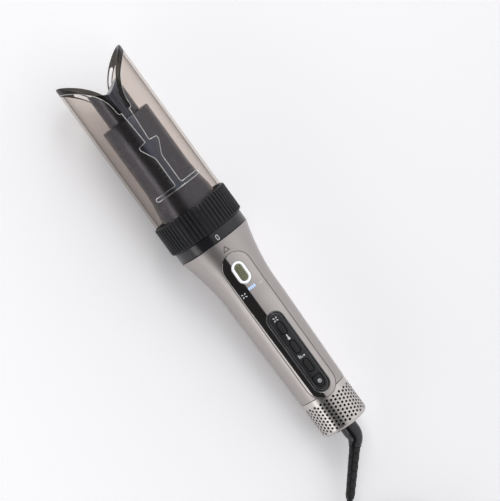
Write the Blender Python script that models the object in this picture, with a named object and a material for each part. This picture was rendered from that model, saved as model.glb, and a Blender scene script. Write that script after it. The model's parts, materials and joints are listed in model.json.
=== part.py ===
"""Automatic hair curler: a hot-air handle with a smoked curling head, lying on a table.

Metres, +Z up. The wand is modelled along its own axis: +Y runs to the tips, +Z is the button side and +X is right.
The empty "wand" then lays it down so that the grip collar and the filter sleeve both touch the table (z = 0).
"""

import math

import bmesh
import bpy
from mathutils import Matrix, Vector

mm = 0.001
gap = 0.3 * mm  # between pieces that are fitted or glued together

# Driving sizes of the wand, measured along the axis from the handle's bottom end
sleeve_radius = 20.8 * mm
sleeve_length = 33.0 * mm
foot_radius = 21.0 * mm
grip_radius = 22.9 * mm
shoulder_radius = 31.5 * mm
grip_end = 119 * mm
flare_start = 130 * mm
shell_top = 181.3 * mm
shell_wall = 1.8 * mm
band_top = 190.6 * mm
collar_radius = 33.5 * mm
collar_top = 216.0 * mm
collar_ribs = 58
rib_depth = 0.9 * mm
rib_share = 0.25  # half of a rib's flat crest, as a share of the spacing
tube_radius = 31.4 * mm
tube_wall = 2.0 * mm
tube_top = 352.6 * mm
barrel_radius = 21.5 * mm
barrel_top = 302.0 * mm
core_radius = 14.3 * mm
core_top = 333.0 * mm
core_groove = 8 * mm
mouth_low = 308 * mm  # bottom of the mouth between the lips
rim_half = 3.0 * mm  # half the mouth's width at its bottom, between the lip guides
wall_half = 6.3 * mm  # and between the tube's own edges
wall_rise = 39 * mm  # from the mouth's bottom to the tube's own edge at the sides
guide_wall = 2.6 * mm
slit_low = 234.1 * mm
slit_high = 237.3 * mm
round_steps = 48
small_steps = 24

# Front panel, positions along the axis
strip_width = 25.4 * mm
strip_low = 29.5 * mm
strip_high = 168.6 * mm
bezel_width = 14.8 * mm
bezel_low = 34.2 * mm
bezel_high = 110.9 * mm
ring_width = 11.2 * mm
ring_length = 19.6 * mm
ring_at = 150.8 * mm
curl_width = 5.8 * mm
curl_length = 14.2 * mm
key_width = 5.4 * mm
key_length = 12.2 * mm
power_width = 7.2 * mm
power_length = 9.6 * mm
power_at = 44.2 * mm
keys = {"ion_button": 59.2 * mm, "heat_button": 77.6 * mm, "speed_button": 95.9 * mm}
led_at = 136.4 * mm
key_foot = 2.6 * mm  # depth of a key below the handle's surface
curl_foot = 3.4 * mm
switch_clearance = 1.0 * mm  # more than a key's travel of 0.6 to 0.7 mm

# Cord
cord_radius = 2.5 * mm
elbow_radius = 7.2 * mm
elbow_angle = math.radians(42)
elbow_bend = 11 * mm
elbow_straight = 9 * mm
boot_length = 42 * mm
coil_centre = Vector((-0.0257, -0.2864, 0))
coil_inner = 17.7 * mm
coil_outer = 42.9 * mm
coil_low = 1.0 * mm
coil_high = 11.1 * mm
tie_width = 12 * mm
tie_thick = 0.7 * mm
tie_angle = math.radians(215)
plug_length = 36 * mm
plug_thick = 15 * mm
plug_offset = 30 * mm  # from the coil's centre to the plug's middle line
table_centre_y = -0.16476  # brings the middle of the wand's length over the origin


def material(name, color, roughness, metallic=0.0, alpha=1.0):
    made = bpy.data.materials.new(name)
    made.use_nodes = True
    shader = made.node_tree.nodes["Principled BSDF"]
    shader.inputs["Base Color"].default_value = (*color, 1)
    shader.inputs["Roughness"].default_value = roughness
    shader.inputs["Metallic"].default_value = metallic
    shader.inputs["Alpha"].default_value = alpha
    return made


for old in list(bpy.data.objects):
    bpy.data.objects.remove(old)

satin_silver = material("satin_silver", (0.42, 0.39, 0.38), 0.38, 0.85)
dark_chrome = material("dark_chrome", (0.30, 0.28, 0.28), 0.08, 0.9)
gloss_black = material("gloss_black", (0.012, 0.012, 0.014), 0.15)
matte_black = material("matte_black", (0.03, 0.03, 0.034), 0.5)
rib_black = material("rib_black", (0.022, 0.022, 0.025), 0.45)
smoked_clear = material("smoked_clear", (0.32, 0.28, 0.25), 0.05, 0.0, 0.4)
smoked_dark = material("smoked_dark", (0.05, 0.045, 0.045), 0.08)
white_light = material("white_light", (0.95, 0.96, 1.0), 0.3)
soft_rubber = material("soft_rubber", (0.02, 0.02, 0.022), 0.6)
steel = material("steel", (0.55, 0.55, 0.56), 0.3, 1.0)
brass = material("brass", (0.75, 0.58, 0.25), 0.3, 1.0)
copper = material("copper", (0.72, 0.36, 0.2), 0.35, 1.0)
mica = material("mica", (0.62, 0.55, 0.42), 0.6)
board_green = material("board_green", (0.03, 0.16, 0.08), 0.5)

# The wand leans by the slope between the two rims that it rests on
collar_edge = band_top + gap
sleeve_edge = 3.6 * mm
rest_radius = collar_radius * math.cos(math.tau / collar_ribs * rib_share)
lean = math.atan2(rest_radius - sleeve_radius, collar_edge - sleeve_edge)
wand = bpy.data.objects.new("wand", None)
bpy.context.scene.collection.objects.link(wand)
wand.rotation_euler = (lean, 0, 0)
wand.location = (
    0,
    table_centre_y,
    rest_radius * math.cos(lean) - collar_edge * math.sin(lean),
)


def shell_radius(y):
    """The handle's outer radius: a slightly tapered grip that flares to the shoulder."""
    taper = min(1, (y - sleeve_length) / (grip_end - sleeve_length))
    flare = max(0, (y - flare_start) / (shell_top - flare_start))
    return foot_radius + taper * (grip_radius - foot_radius) + flare**1.8 * (shoulder_radius - grip_radius)


def rim_height(side):
    """Height of the lip guides' edge at a distance from the middle of the mouth: two rounded lips."""
    share = max(0, side - rim_half) / (tube_radius - rim_half)
    return mouth_low + (tube_top - mouth_low) * share**0.42


def wall_height(side):
    """Height of the tube's own edge, which the lip guides stand on."""
    share = max(0, side - wall_half) / (tube_radius - wall_half)
    return mouth_low + wall_rise * share**0.40


def lip_sides():
    """Distances from the middle at which the lips have a column: close together where their edge is steep."""
    near = [1.5, 3.06, 3.3, 3.8, 4.6, 5.5, 6.3, 6.36, 6.7, 7.4, 8.6]
    return [side * mm for side in near] + [tube_radius * math.sin(math.radians(a)) for a in range(20, 91, 5)]


def finish(name, bm, surface, parent=wand, smooth=True):
    """Turns a bmesh into a named object."""
    bmesh.ops.remove_doubles(bm, verts=bm.verts, dist=1e-7)
    bmesh.ops.recalc_face_normals(bm, faces=bm.faces)
    mesh = bpy.data.meshes.new(name)
    bm.to_mesh(mesh)
    bm.free()
    if surface is not None:
        mesh.materials.append(surface)
    if smooth:
        mesh.shade_smooth()
        mesh.set_sharp_from_angle(angle=math.radians(35))
    obj = bpy.data.objects.new(name, mesh)
    bpy.context.scene.collection.objects.link(obj)
    obj.parent = parent
    return obj


def turned(name, outline, surface, steps=round_steps, parent=wand, axis_at=(0, 0)):
    """Spins a closed outline of (y, radius) points about the wand's axis, or one parallel to it."""
    bm = bmesh.new()
    x, z = axis_at
    points = [bm.verts.new((x, y, z - r)) for y, r in outline]
    edges = [bm.edges.new((points[i - 1], points[i])) for i in range(len(points))]
    bmesh.ops.spin(
        bm,
        geom=points + edges,
        cent=(x, 0, z),
        axis=(0, 1, 0),
        angle=math.tau,
        steps=steps,
        use_merge=True,
    )
    bmesh.ops.dissolve_degenerate(bm, dist=1e-7, edges=bm.edges)
    return finish(name, bm, surface, parent)


def prism(name, outline, low, high, surface=None, parent=wand, smooth=True):
    """Extrudes an (x, y) outline along the button side's direction, from z low to z high."""
    bm = bmesh.new()
    face = bm.faces.new([bm.verts.new((x, y, low)) for x, y in outline])
    pulled = bmesh.ops.extrude_face_region(bm, geom=[face])["geom"]
    moved = [v for v in pulled if isinstance(v, bmesh.types.BMVert)]
    bmesh.ops.translate(bm, verts=moved, vec=(0, 0, high - low))
    return finish(name, bm, surface, parent, smooth)


def block(name, low, high, surface=None, parent=wand, turn=0.0):
    """A box between two corners, turned about the wand's axis."""
    bm = bmesh.new()
    bmesh.ops.create_cube(bm, size=1)
    size = Vector(high) - Vector(low)
    bmesh.ops.scale(bm, vec=size, verts=bm.verts)
    bmesh.ops.translate(bm, verts=bm.verts, vec=(Vector(low) + Vector(high)) / 2)
    bmesh.ops.rotate(bm, verts=bm.verts, cent=(0, 0, 0), matrix=Matrix.Rotation(turn, 3, "Y"))
    return finish(name, bm, surface, parent, smooth=False)


def stadium(width, low, high, steps=8):
    """A round-ended slot along the axis, as (x, y) points."""
    r = width / 2
    points = []
    for centre, start in ((high - r, 0.0), (low + r, math.pi)):
        for i in range(steps + 1):
            angle = start + math.pi * i / steps
            points.append((r * math.cos(angle), centre + r * math.sin(angle)))
    return points


def cutter(obj):
    obj.hide_render = True
    obj.display_type = "WIRE"
    return obj


def boolean(obj, tool, operation="DIFFERENCE"):
    """Cuts, joins or crosses obj with a tool that isn't itself a node."""
    cutter(tool)
    modifier = obj.modifiers.new(tool.name, "BOOLEAN")
    modifier.operation = operation
    modifier.object = tool
    modifier.solver = "EXACT"
    return obj


def follow_shell(name, outer, inner, low, high, stations=16):
    """A turned guide whose walls run parallel to the handle's surface."""
    heights = [low + (high - low) * i / stations for i in range(stations + 1)]
    outline = [(y, shell_radius(y) + outer) for y in heights]
    outline += [(y, shell_radius(y) + inner) for y in reversed(heights)]
    return turned(name, outline, None)


def panel_piece(name, outline, outer, inner, surface, low, high, stations=8, parent=wand):
    """A piece of the front panel: an outline pulled straight out, cut to the handle's curve."""
    obj = prism(name, outline, 10 * mm, 40 * mm, surface, parent)
    return boolean(obj, follow_shell(name + "_guide", outer, inner, low, high, stations), "INTERSECT")


def grown(width, low, high, by):
    return stadium(width + 2 * by, low - by, high + by)


# ---------------------------------------------------------------- handle
def make_handle_shell():
    heights = [sleeve_length + gap, grip_end]
    count = 9
    heights += [flare_start + (shell_top - flare_start) * i / count for i in range(count + 1)]
    outline = [(y, shell_radius(y)) for y in heights]
    outline += [(y, shell_radius(y) - shell_wall) for y in reversed(heights)]
    shell = turned("handle_shell", outline, satin_silver)
    opening = prism("strip_opening", grown(strip_width, strip_low, strip_high, gap), 5 * mm, 45 * mm)
    boolean(shell, opening)


def make_control_strip():
    outline = stadium(strip_width, strip_low, strip_high, 12)
    strip = panel_piece("control_strip", outline, 0.1 * mm, -1.9 * mm, dark_chrome, 22 * mm, 174 * mm, 18)
    boolean(strip, prism("bezel_opening", grown(bezel_width, bezel_low, bezel_high, gap), 5 * mm, 45 * mm))
    low, high = ring_at - ring_length / 2, ring_at + ring_length / 2
    boolean(strip, prism("ring_opening", grown(ring_width, low, high, gap), 5 * mm, 45 * mm))
    boolean(strip, prism("led_opening", stadium(2.2 * mm, -3.8 * mm, 3.8 * mm, 4), 5 * mm, 45 * mm))
    led = bpy.data.objects["led_opening"]
    led.rotation_euler = (0, 0, math.pi / 2)
    led.location = (0, led_at, 0)


def make_led_bar():
    bar = prism("led_bar", stadium(1.6 * mm, -3.5 * mm, 3.5 * mm, 4), 20.6 * mm, 23.05 * mm, white_light)
    bar.rotation_euler = (0, 0, math.pi / 2)
    bar.location = (0, led_at, 0)


def make_keypad_bezel():
    outline = stadium(bezel_width, bezel_low, bezel_high)
    bezel = panel_piece("keypad_bezel", outline, 0.5 * mm, -1.6 * mm, matte_black, 26 * mm, 116 * mm)
    for name, y in keys.items():
        half = key_length / 2
        hole = prism(name + "_hole", grown(key_width, y - half, y + half, gap), 5 * mm, 45 * mm)
        boolean(bezel, hole)
    half = power_length / 2
    boolean(bezel, prism("power_hole", grown(power_width, power_at - half, power_at + half, gap), 5 * mm, 45 * mm))


def make_keys():
    """The three small keys and the power key, each with its stem and its switch on the board."""
    sizes = {name: (key_width, key_length, y) for name, y in keys.items()}
    sizes["power_button"] = (power_width, power_length, power_at)
    for name, (width, length, y) in sizes.items():
        outline = stadium(width, y - length / 2, y + length / 2, 6)
        panel_piece(name, outline, 0.9 * mm, -key_foot, matte_black, y - 10 * mm, y + 10 * mm, 2)
        switch = name.replace("button", "switch")
        half = 1.6 * mm
        top = shell_radius(y) - key_foot - switch_clearance
        block(switch, (-half, y - half, 14.5 * mm), (half, y + half, top), steel)


def make_curl_control():
    """The lit ring and the dotted push button inside it."""
    low, high = ring_at - ring_length / 2, ring_at + ring_length / 2
    outline = stadium(ring_width, low, high, 10)
    ring = panel_piece("light_ring", outline, 0.5 * mm, -2.6 * mm, white_light, low - 5 * mm, high + 5 * mm, 6)
    half = curl_length / 2
    boolean(ring, prism("curl_hole", grown(curl_width, ring_at - half, ring_at + half, gap), 5 * mm, 45 * mm))
    outline = stadium(curl_width, ring_at - half, ring_at + half)
    panel_piece("curl_button", outline, 0.8 * mm, -curl_foot, matte_black, low, high, 6)
    top = shell_radius(ring_at - 2 * mm) - curl_foot - switch_clearance
    block("curl_switch", (-2 * mm, ring_at - 2 * mm, 18.5 * mm), (2 * mm, ring_at + 2 * mm, top), steel)


def make_boards():
    block("main_board", (-9.5 * mm, 37 * mm, 13.0 * mm), (9.5 * mm, 108 * mm, 14.2 * mm), board_green)
    block("display_board", (-7 * mm, 128 * mm, 17.1 * mm), (7 * mm, 160 * mm, 18.2 * mm), board_green)
    block("ion_generator", (-7 * mm, 112 * mm, -19 * mm), (7 * mm, 128 * mm, -16.2 * mm), matte_black)


# ---------------------------------------------------------------- air path inside the handle
motor_low = 42 * mm
motor_high = 72 * mm


def make_motor():
    """A small high-speed fan motor in a rubber mount, blowing towards the heater."""
    turned(
        "motor_mount",
        [(motor_low, 13.2 * mm), (motor_low, 15.4 * mm), (motor_low + 3 * mm, 15.4 * mm),
         (motor_low + 3 * mm, 12.6 * mm), (motor_high - 3 * mm, 12.6 * mm), (motor_high - 3 * mm, 15.4 * mm),
         (motor_high, 15.4 * mm), (motor_high, 11.9 * mm), (motor_low, 11.9 * mm)][1:],
        soft_rubber,
        small_steps,
    )
    mount = bpy.data.objects["motor_mount"]
    boolean(mount, block("mount_flat", (-20 * mm, 30 * mm, 12.5 * mm), (20 * mm, 80 * mm, 20 * mm)))
    turned(
        "motor_can",
        [(motor_low + 2 * mm, 10.4 * mm), (motor_low + 2 * mm, 11.6 * mm), (motor_high - 1 * mm, 11.6 * mm),
         (motor_high - 1 * mm, 10.4 * mm)],
        steel,
        small_steps,
    )
    turned(
        "motor_stator",
        [(motor_low + 9 * mm, 4.6 * mm), (motor_low + 9 * mm, 10.1 * mm), (motor_low + 19 * mm, 10.1 * mm),
         (motor_low + 19 * mm, 4.6 * mm)],
        copper,
        24,
    )
    for name, low in (("rear_bearing", motor_low + 4 * mm), ("front_bearing", motor_low + 21 * mm)):
        turned(
            name,
            [(low, 1.3 * mm), (low, 4.4 * mm), (low + 2.5 * mm, 4.4 * mm), (low + 2.5 * mm, 1.3 * mm)],
            steel,
            16,
        )


def make_rotor():
    """Everything that spins: shaft, magnet and impeller."""
    turned(
        "motor_shaft",
        [(motor_low + 1 * mm, 0), (motor_low + 1 * mm, 1.0 * mm), (motor_high - 0.5 * mm, 1.0 * mm),
         (motor_high - 0.5 * mm, 0)],
        steel,
        16,
    )
    turned(
        "rotor_magnet",
        [(motor_low + 8 * mm, 1.3 * mm), (motor_low + 8 * mm, 4.2 * mm), (motor_low + 20 * mm, 4.2 * mm),
         (motor_low + 20 * mm, 1.3 * mm)],
        matte_black,
        16,
    )
    low = motor_high - 5.5 * mm
    impeller = turned(
        "impeller",
        [(low, 1.3 * mm), (low, 4.5 * mm), (low + 4 * mm, 4.0 * mm), (low + 4 * mm, 1.3 * mm)],
        matte_black,
        16,
    )
    blades = 9
    for i in range(blades):
        blade = block(
            f"impeller_blade_{i}",
            (-0.4 * mm, low + 0.4 * mm, 3.2 * mm),
            (0.4 * mm, low + 3.6 * mm, 9.8 * mm),
        )
        blade.rotation_euler = (0, math.tau * i / blades, 0)
        boolean(impeller, blade, "UNION")


def make_heater():
    """Mica cross with a heating coil round it, inside an insulating tube."""
    low, high = 112 * mm, 172 * mm
    turned(
        "heater_tube",
        [(low, 15.2 * mm), (low, 15.8 * mm), (high, 15.8 * mm), (high, 15.2 * mm)],
        mica,
        small_steps,
    )
    cross = block("heater_frame", (-0.5 * mm, low + 2 * mm, -14.6 * mm), (0.5 * mm, high - 6 * mm, 14.6 * mm), mica)
    boolean(cross, block("cross_web", (-14.6 * mm, low + 2 * mm, -0.5 * mm), (14.6 * mm, high - 6 * mm, 0.5 * mm)),
            "UNION")
    notch = turned("coil_notch", [(low + 6 * mm, 10.6 * mm), (low + 6 * mm, 13.4 * mm), (high - 10 * mm, 13.4 * mm),
                                  (high - 10 * mm, 10.6 * mm)], None, 24)
    boolean(cross, notch)
    coil = bpy.data.curves.new("heater_coil", "CURVE")
    coil.dimensions = "3D"
    coil.bevel_depth = 0.7 * mm
    coil.bevel_resolution = 0
    coil.use_fill_caps = True
    turns, per_turn = 7, 12
    spline = coil.splines.new("POLY")
    spline.points.add(turns * per_turn)
    for i, point in enumerate(spline.points):
        angle = math.tau * i / per_turn
        y = low + 7.5 * mm + (high - low - 19 * mm) * i / (turns * per_turn)
        point.co = (12 * mm * math.cos(angle), y, 12 * mm * math.sin(angle), 1)
    coil.materials.append(copper)
    obj = bpy.data.objects.new("heater_coil", coil)
    bpy.context.scene.collection.objects.link(obj)
    obj.parent = wand
    block("thermal_cutout", (2 * mm, high - 5.4 * mm, -3 * mm), (8 * mm, high - 1.0 * mm, 3 * mm), steel)


def make_outlet():
    """Bayonet socket in the handle's mouth, and the guard over the hot outlet."""
    socket = turned(
        "bayonet_socket",
        [(176 * mm, 25.4 * mm), (176 * mm, 28.1 * mm), (184 * mm, 28.1 * mm), (184 * mm, 25.4 * mm),
         (181.2 * mm, 25.4 * mm), (181.2 * mm, 27.2 * mm), (177.6 * mm, 27.2 * mm), (177.6 * mm, 25.4 * mm)],
        gloss_black,
    )
    for i in range(3):
        entry = block(
            f"lug_entry_{i}",
            (-6 * mm, 177.5 * mm, 24 * mm),
            (6 * mm, 186 * mm, 27.2 * mm),
            turn=math.tau * i / 3 + lug_turn,
        )
        boolean(socket, entry)
    guard = turned(
        "outlet_guard",
        [(172.6 * mm, 19.5 * mm), (172.6 * mm, 27.0 * mm), (174.4 * mm, 27.0 * mm), (174.4 * mm, 19.5 * mm)],
        matte_black,
        small_steps,
    )
    for i in range(3):
        bar = block(f"guard_bar_{i}", (-0.7 * mm, 172.8 * mm, -20.5 * mm), (0.7 * mm, 174.2 * mm, 20.5 * mm))
        bar.rotation_euler = (0, math.pi * i / 3, 0)
        boolean(guard, bar, "UNION")


lug_turn = math.radians(30)


# ---------------------------------------------------------------- air intake at the bottom
def make_intake():
    """The cage behind the filter sleeve, its fine mesh, and the bearing that the cord turns in."""
    end_plate, top_ring = 4.5 * mm, 29 * mm
    cage = turned(
        "intake_cage",
        [(1.6 * mm, 9.3 * mm), (1.6 * mm, 15.6 * mm), (end_plate, 17.6 * mm), (36 * mm, 17.6 * mm),
         (36 * mm, 15.6 * mm), (end_plate + 1.4 * mm, 15.6 * mm), (end_plate + 1.4 * mm, 9.3 * mm)],
        matte_black,
        small_steps,
    )
    windows = 6
    for i in range(windows):
        window = block(
            f"intake_window_{i}",
            (-7 * mm, end_plate + 2.5 * mm, 10 * mm),
            (7 * mm, top_ring, 22 * mm),
            turn=math.tau * (i + 0.5) / windows,
        )
        boolean(cage, window)
    turned(
        "filter_mesh",
        [(5 * mm, 17.9 * mm), (5 * mm, 18.6 * mm), (27 * mm, 18.6 * mm), (27 * mm, 17.9 * mm)],
        steel,
        48,
    )
    turned(
        "swivel_bush",
        [(0.8 * mm, 7.5 * mm), (0.8 * mm, 9.0 * mm), (10 * mm, 9.0 * mm), (10 * mm, 7.5 * mm)],
        soft_rubber,
        small_steps,
    )
    for i, y in enumerate((14.5 * mm, 18.5 * mm)):
        block(f"contact_spring_{i + 1}", (-1.5 * mm, y - 1 * mm, 5.9 * mm), (1.5 * mm, y + 1 * mm, 6.4 * mm), brass)


def make_filter_sleeve():
    """The perforated cap that slides off the bottom for cleaning, notched for the strip's round end."""
    wall = 1.4 * mm
    outline = [(sleeve_length, sleeve_radius)]
    steps = 4
    for i in range(steps + 1):
        angle = math.pi / 2 * i / steps
        outline.append((sleeve_edge * (1 - math.sin(angle)), sleeve_radius - sleeve_edge * (1 - math.cos(angle))))
    outline += [(0, 16 * mm), (1.4 * mm, 16 * mm), (3.0 * mm, sleeve_radius - wall - 1.5 * mm),
                (5.0 * mm, sleeve_radius - wall), (sleeve_length, sleeve_radius - wall)]
    sleeve = turned("filter_sleeve", outline, satin_silver)
    notch = prism("sleeve_notch", grown(strip_width, strip_low, strip_high, gap), 5 * mm, 45 * mm)
    boolean(sleeve, notch)


# ---------------------------------------------------------------- curling head
def make_head_base():
    """The ring that plugs into the handle, with its three bayonet lugs."""
    base = turned(
        "head_base",
        [(177.6 * mm, 23.2 * mm), (177.6 * mm, 25.1 * mm), (184.3 * mm, 25.1 * mm), (184.3 * mm, 29.6 * mm),
         (188.4 * mm, 29.6 * mm), (188.4 * mm, 29.1 * mm), (200 * mm, 29.1 * mm), (200 * mm, 27.5 * mm),
         (190.4 * mm, 27.5 * mm), (190.4 * mm, 23.2 * mm)],
        matte_black,
    )
    for i in range(3):
        lug = block(f"base_lug_{i}", (-4.6 * mm, 178.0 * mm, 23.6 * mm), (4.6 * mm, 180.8 * mm, 26.5 * mm),
                    turn=math.tau * i / 3)
        boolean(base, lug, "UNION")


def make_air_diverter():
    """Vanes that make the hot air swirl up round the barrel."""
    hub = turned(
        "air_diverter",
        [(190.8 * mm, 20.4 * mm), (190.8 * mm, 22.2 * mm), (197 * mm, 22.2 * mm), (197 * mm, 20.4 * mm)],
        matte_black,
        small_steps,
    )
    vanes = 8
    for i in range(vanes):
        vane = block(f"vane_{i}", (-0.6 * mm, 191.2 * mm, 21.4 * mm), (0.6 * mm, 196.6 * mm, 27.0 * mm))
        vane.rotation_euler = (0, math.tau * i / vanes, 0)
        boolean(hub, vane, "UNION")


def make_lock_band():
    turned(
        "lock_band",
        [(shell_top + 0.4 * mm, 29.9 * mm), (shell_top + 0.4 * mm, tube_radius), (band_top, tube_radius),
         (band_top, 29.9 * mm)],
        gloss_black,
    )


def make_grip_collar():
    """Ribbed ring round the tube's foot, for twisting the head on and off."""
    inner = tube_radius + gap
    bm = bmesh.new()
    points = []
    for i in range(collar_ribs):
        for share, depth in ((-rib_share, 0), (rib_share, 0), (0.5, rib_depth)):
            angle = math.tau * (i + share) / collar_ribs - math.pi / 2
            r = collar_radius - depth
            points.append(bm.verts.new((r * math.cos(angle), collar_edge, r * math.sin(angle))))
    hole = [
        bm.verts.new((inner * math.cos(math.tau * i / round_steps), collar_edge,
                      inner * math.sin(math.tau * i / round_steps)))
        for i in range(round_steps)
    ]
    edges = [bm.edges.new((loop[i - 1], loop[i])) for loop in (points, hole) for i in range(len(loop))]
    bmesh.ops.triangle_fill(bm, use_beauty=True, edges=edges)
    pulled = bmesh.ops.extrude_face_region(bm, geom=list(bm.faces))["geom"]
    moved = [v for v in pulled if isinstance(v, bmesh.types.BMVert)]
    bmesh.ops.translate(bm, verts=moved, vec=(0, collar_top - collar_edge, 0))
    finish("grip_collar", bm, rib_black)


def hair_slot(name):
    """The slot that the hair enters by: neck, barbed catch, straight run and the cross slit."""
    half = [(3.8, 312), (3.8, 309), (1.9, 278.8), (8.4, 277.4), (8.6, 275.2), (3.0, 264.0), (2.8, 260.6),
            (2.8, slit_high / mm), (21.0, slit_high / mm), (21.0, slit_low / mm)]
    right = [(x * mm, y * mm) for x, y in half]
    outline = right + [(-x, y) for x, y in reversed(right)]
    return prism(name, outline, 8 * mm, 45 * mm)


def wall_column(bm, angle, outer, inner, foot, top):
    return [
        bm.verts.new((r * math.sin(angle), y, r * math.cos(angle)))
        for r, y in ((outer, foot), (outer, top), (inner, top), (inner, foot))
    ]


def make_smoked_tube():
    """The clear tube. Its top edge falls to the mouth at the front and the back."""
    quarter = [0] + [math.asin(side / tube_radius) for side in lip_sides()]
    half = quarter + [math.pi - a for a in reversed(quarter[:-1])]
    angles = half + [math.tau - a for a in reversed(half[1:-1])]
    bm = bmesh.new()
    columns = [
        wall_column(bm, a, tube_radius, tube_radius - tube_wall, collar_edge + gap,
                    wall_height(tube_radius * abs(math.sin(a))))
        for a in angles
    ]
    for i, b in enumerate(columns):
        a = columns[i - 1]
        for k in range(4):
            bm.faces.new((a[k - 1], a[k], b[k], b[k - 1]))
    boolean(finish("smoked_tube", bm, smoked_clear), hair_slot("tube_slot"))


def make_lip_guides():
    """Dark rims on the tube's lips, left and right, that turn the hair into the slot."""
    quarter = [math.asin(side / tube_radius) for side in lip_sides()[1:]]
    angles = quarter + [math.pi - a for a in reversed(quarter[:-1])]
    for name, way in (("lip_guide_left", -1), ("lip_guide_right", 1)):
        bm = bmesh.new()
        columns = []
        for a in angles:
            side = tube_radius * math.sin(a)
            columns.append(wall_column(bm, way * a, tube_radius, tube_radius - guide_wall, wall_height(side) + gap,
                                       rim_height(side)))
        bm.faces.new(columns[0])
        bm.faces.new(reversed(columns[-1]))
        for a, b in zip(columns, columns[1:]):
            for k in range(4):
                bm.faces.new((a[k - 1], a[k], b[k], b[k - 1]))
        finish(name, bm, smoked_dark)


def make_barrel():
    """Air barrel that the hair winds onto: a flared foot and a straight body, open below."""
    wall = 1.6 * mm
    foot = 198 * mm
    profile = [(foot, 25.6), (205 * mm, 25.4), (222 * mm, 24.2), (232 * mm, 22.6), (240 * mm, 21.8), (248 * mm, 21.5)]
    outer = [(y, r * mm) for y, r in profile]
    outline = outer + [(barrel_top - 0.6 * mm, barrel_radius), (barrel_top, barrel_radius - 0.6 * mm), (barrel_top, 0)]
    outline += [(barrel_top - wall, 0), (barrel_top - wall, barrel_radius - wall)]
    outline += [(y, r - wall) for y, r in reversed(outer)]
    barrel = turned("curl_barrel", outline, matte_black, 48)
    vents = 4
    for i in range(vents):
        y = 244.2 * mm + 4.0 * mm * i
        vent = block(f"air_vent_{i}", (-4.4 * mm, y, 15 * mm), (-3.1 * mm, y + 2 * mm, 25 * mm))
        boolean(barrel, vent)


def make_barrel_core():
    core = turned(
        "barrel_core",
        [(barrel_top + gap, 0), (barrel_top + gap, core_radius), (core_top, core_radius), (core_top, 0)],
        matte_black,
        small_steps,
    )
    groove = prism(
        "core_groove",
        [(0, core_top - core_groove), (core_radius * 1.2, core_top + core_groove * 0.2),
         (core_radius * 1.2, core_top + 5 * mm), (-core_radius * 1.2, core_top + 5 * mm),
         (-core_radius * 1.2, core_top + core_groove * 0.2)],
        -20 * mm,
        20 * mm,
    )
    boolean(core, groove)


# ---------------------------------------------------------------- cord
def elbow_line():
    """Centreline of the elbow in the wand's frame: in through the bush, round the bend, to the boot."""
    points = [Vector((0, 21 * mm, 0)), Vector((0, -elbow_straight, 0))]
    steps = 6
    for i in range(1, steps + 1):
        a = elbow_angle * i / steps
        points.append(Vector((-elbow_bend * (1 - math.cos(a)), -elbow_straight - elbow_bend * math.sin(a), 0)))
    return points


def boot_direction():
    return Vector((-math.sin(elbow_angle), -math.cos(elbow_angle), 0))


def swept(name, stations, surface, sides=16):
    """A closed round tube through (point, direction, radius) stations."""
    bm = bmesh.new()
    rings = []
    for centre, direction, radius in stations:
        turn = direction.to_track_quat("Y", "Z").to_matrix()
        rings.append([
            bm.verts.new(centre + turn @ Vector((radius * math.cos(math.tau * k / sides), 0,
                                                 radius * math.sin(math.tau * k / sides))))
            for k in range(sides)
        ])
    bm.faces.new(rings[0])
    bm.faces.new(reversed(rings[-1]))
    for a, b in zip(rings, rings[1:]):
        for k in range(sides):
            bm.faces.new((a[k - 1], a[k], b[k], b[k - 1]))
    return finish(name, bm, surface)


def make_elbow():
    """Turning knuckle: a journal in the bush, a collar that keeps it in, and the bent neck outside."""
    down = Vector((0, -1, 0))
    stations = [(Vector((0, 21 * mm, 0)), down, 3.2 * mm), (Vector((0, 12.4 * mm, 0)), down, 3.2 * mm),
                (Vector((0, 12.3 * mm, 0)), down, 8.6 * mm), (Vector((0, 10.4 * mm, 0)), down, 8.6 * mm),
                (Vector((0, 10.3 * mm, 0)), down, elbow_radius), (Vector((0, -elbow_straight, 0)), down, elbow_radius)]
    line = elbow_line()[2:]
    for i, point in enumerate(line):
        share = (i + 1) / len(line)
        a = elbow_angle * share
        direction = Vector((-math.sin(a), -math.cos(a), 0))
        stations.append((point, direction, elbow_radius - share * 1.6 * mm))
    stations.append((line[-1] + boot_direction() * 4 * mm, boot_direction(), 5.2 * mm))
    swept("swivel_elbow", stations, gloss_black)
    for i, y in enumerate((13.5 * mm, 17.5 * mm)):
        turned(f"slip_ring_{i + 1}", [(y, 3.5 * mm), (y, 5.5 * mm), (y + 2 * mm, 5.5 * mm), (y + 2 * mm, 3.5 * mm)],
               brass, 24)


boot_start = 4.3 * mm


def make_boot():
    """Flexible ribbed strain relief."""
    start = elbow_line()[-1] + boot_direction() * boot_start
    rings = 9
    stations = []
    for i in range(rings):
        for share, sink in ((0.0, 0.0), (0.6, 0.0), (0.65, 0.6), (0.95, 0.6)):
            along = (i + share) / rings
            radius = (4.6 - 1.2 * along - sink) * mm
            stations.append((start + boot_direction() * boot_length * along, boot_direction(), radius))
    stations.append((start + boot_direction() * boot_length, boot_direction(), 3.4 * mm))
    swept("strain_relief_boot", stations, soft_rubber, 12)


def table_point(point):
    """A point of the wand's frame, where it lies on the table."""
    turn = Matrix.Rotation(lean, 3, "X")
    return turn @ point + Vector(wand.location)


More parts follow.
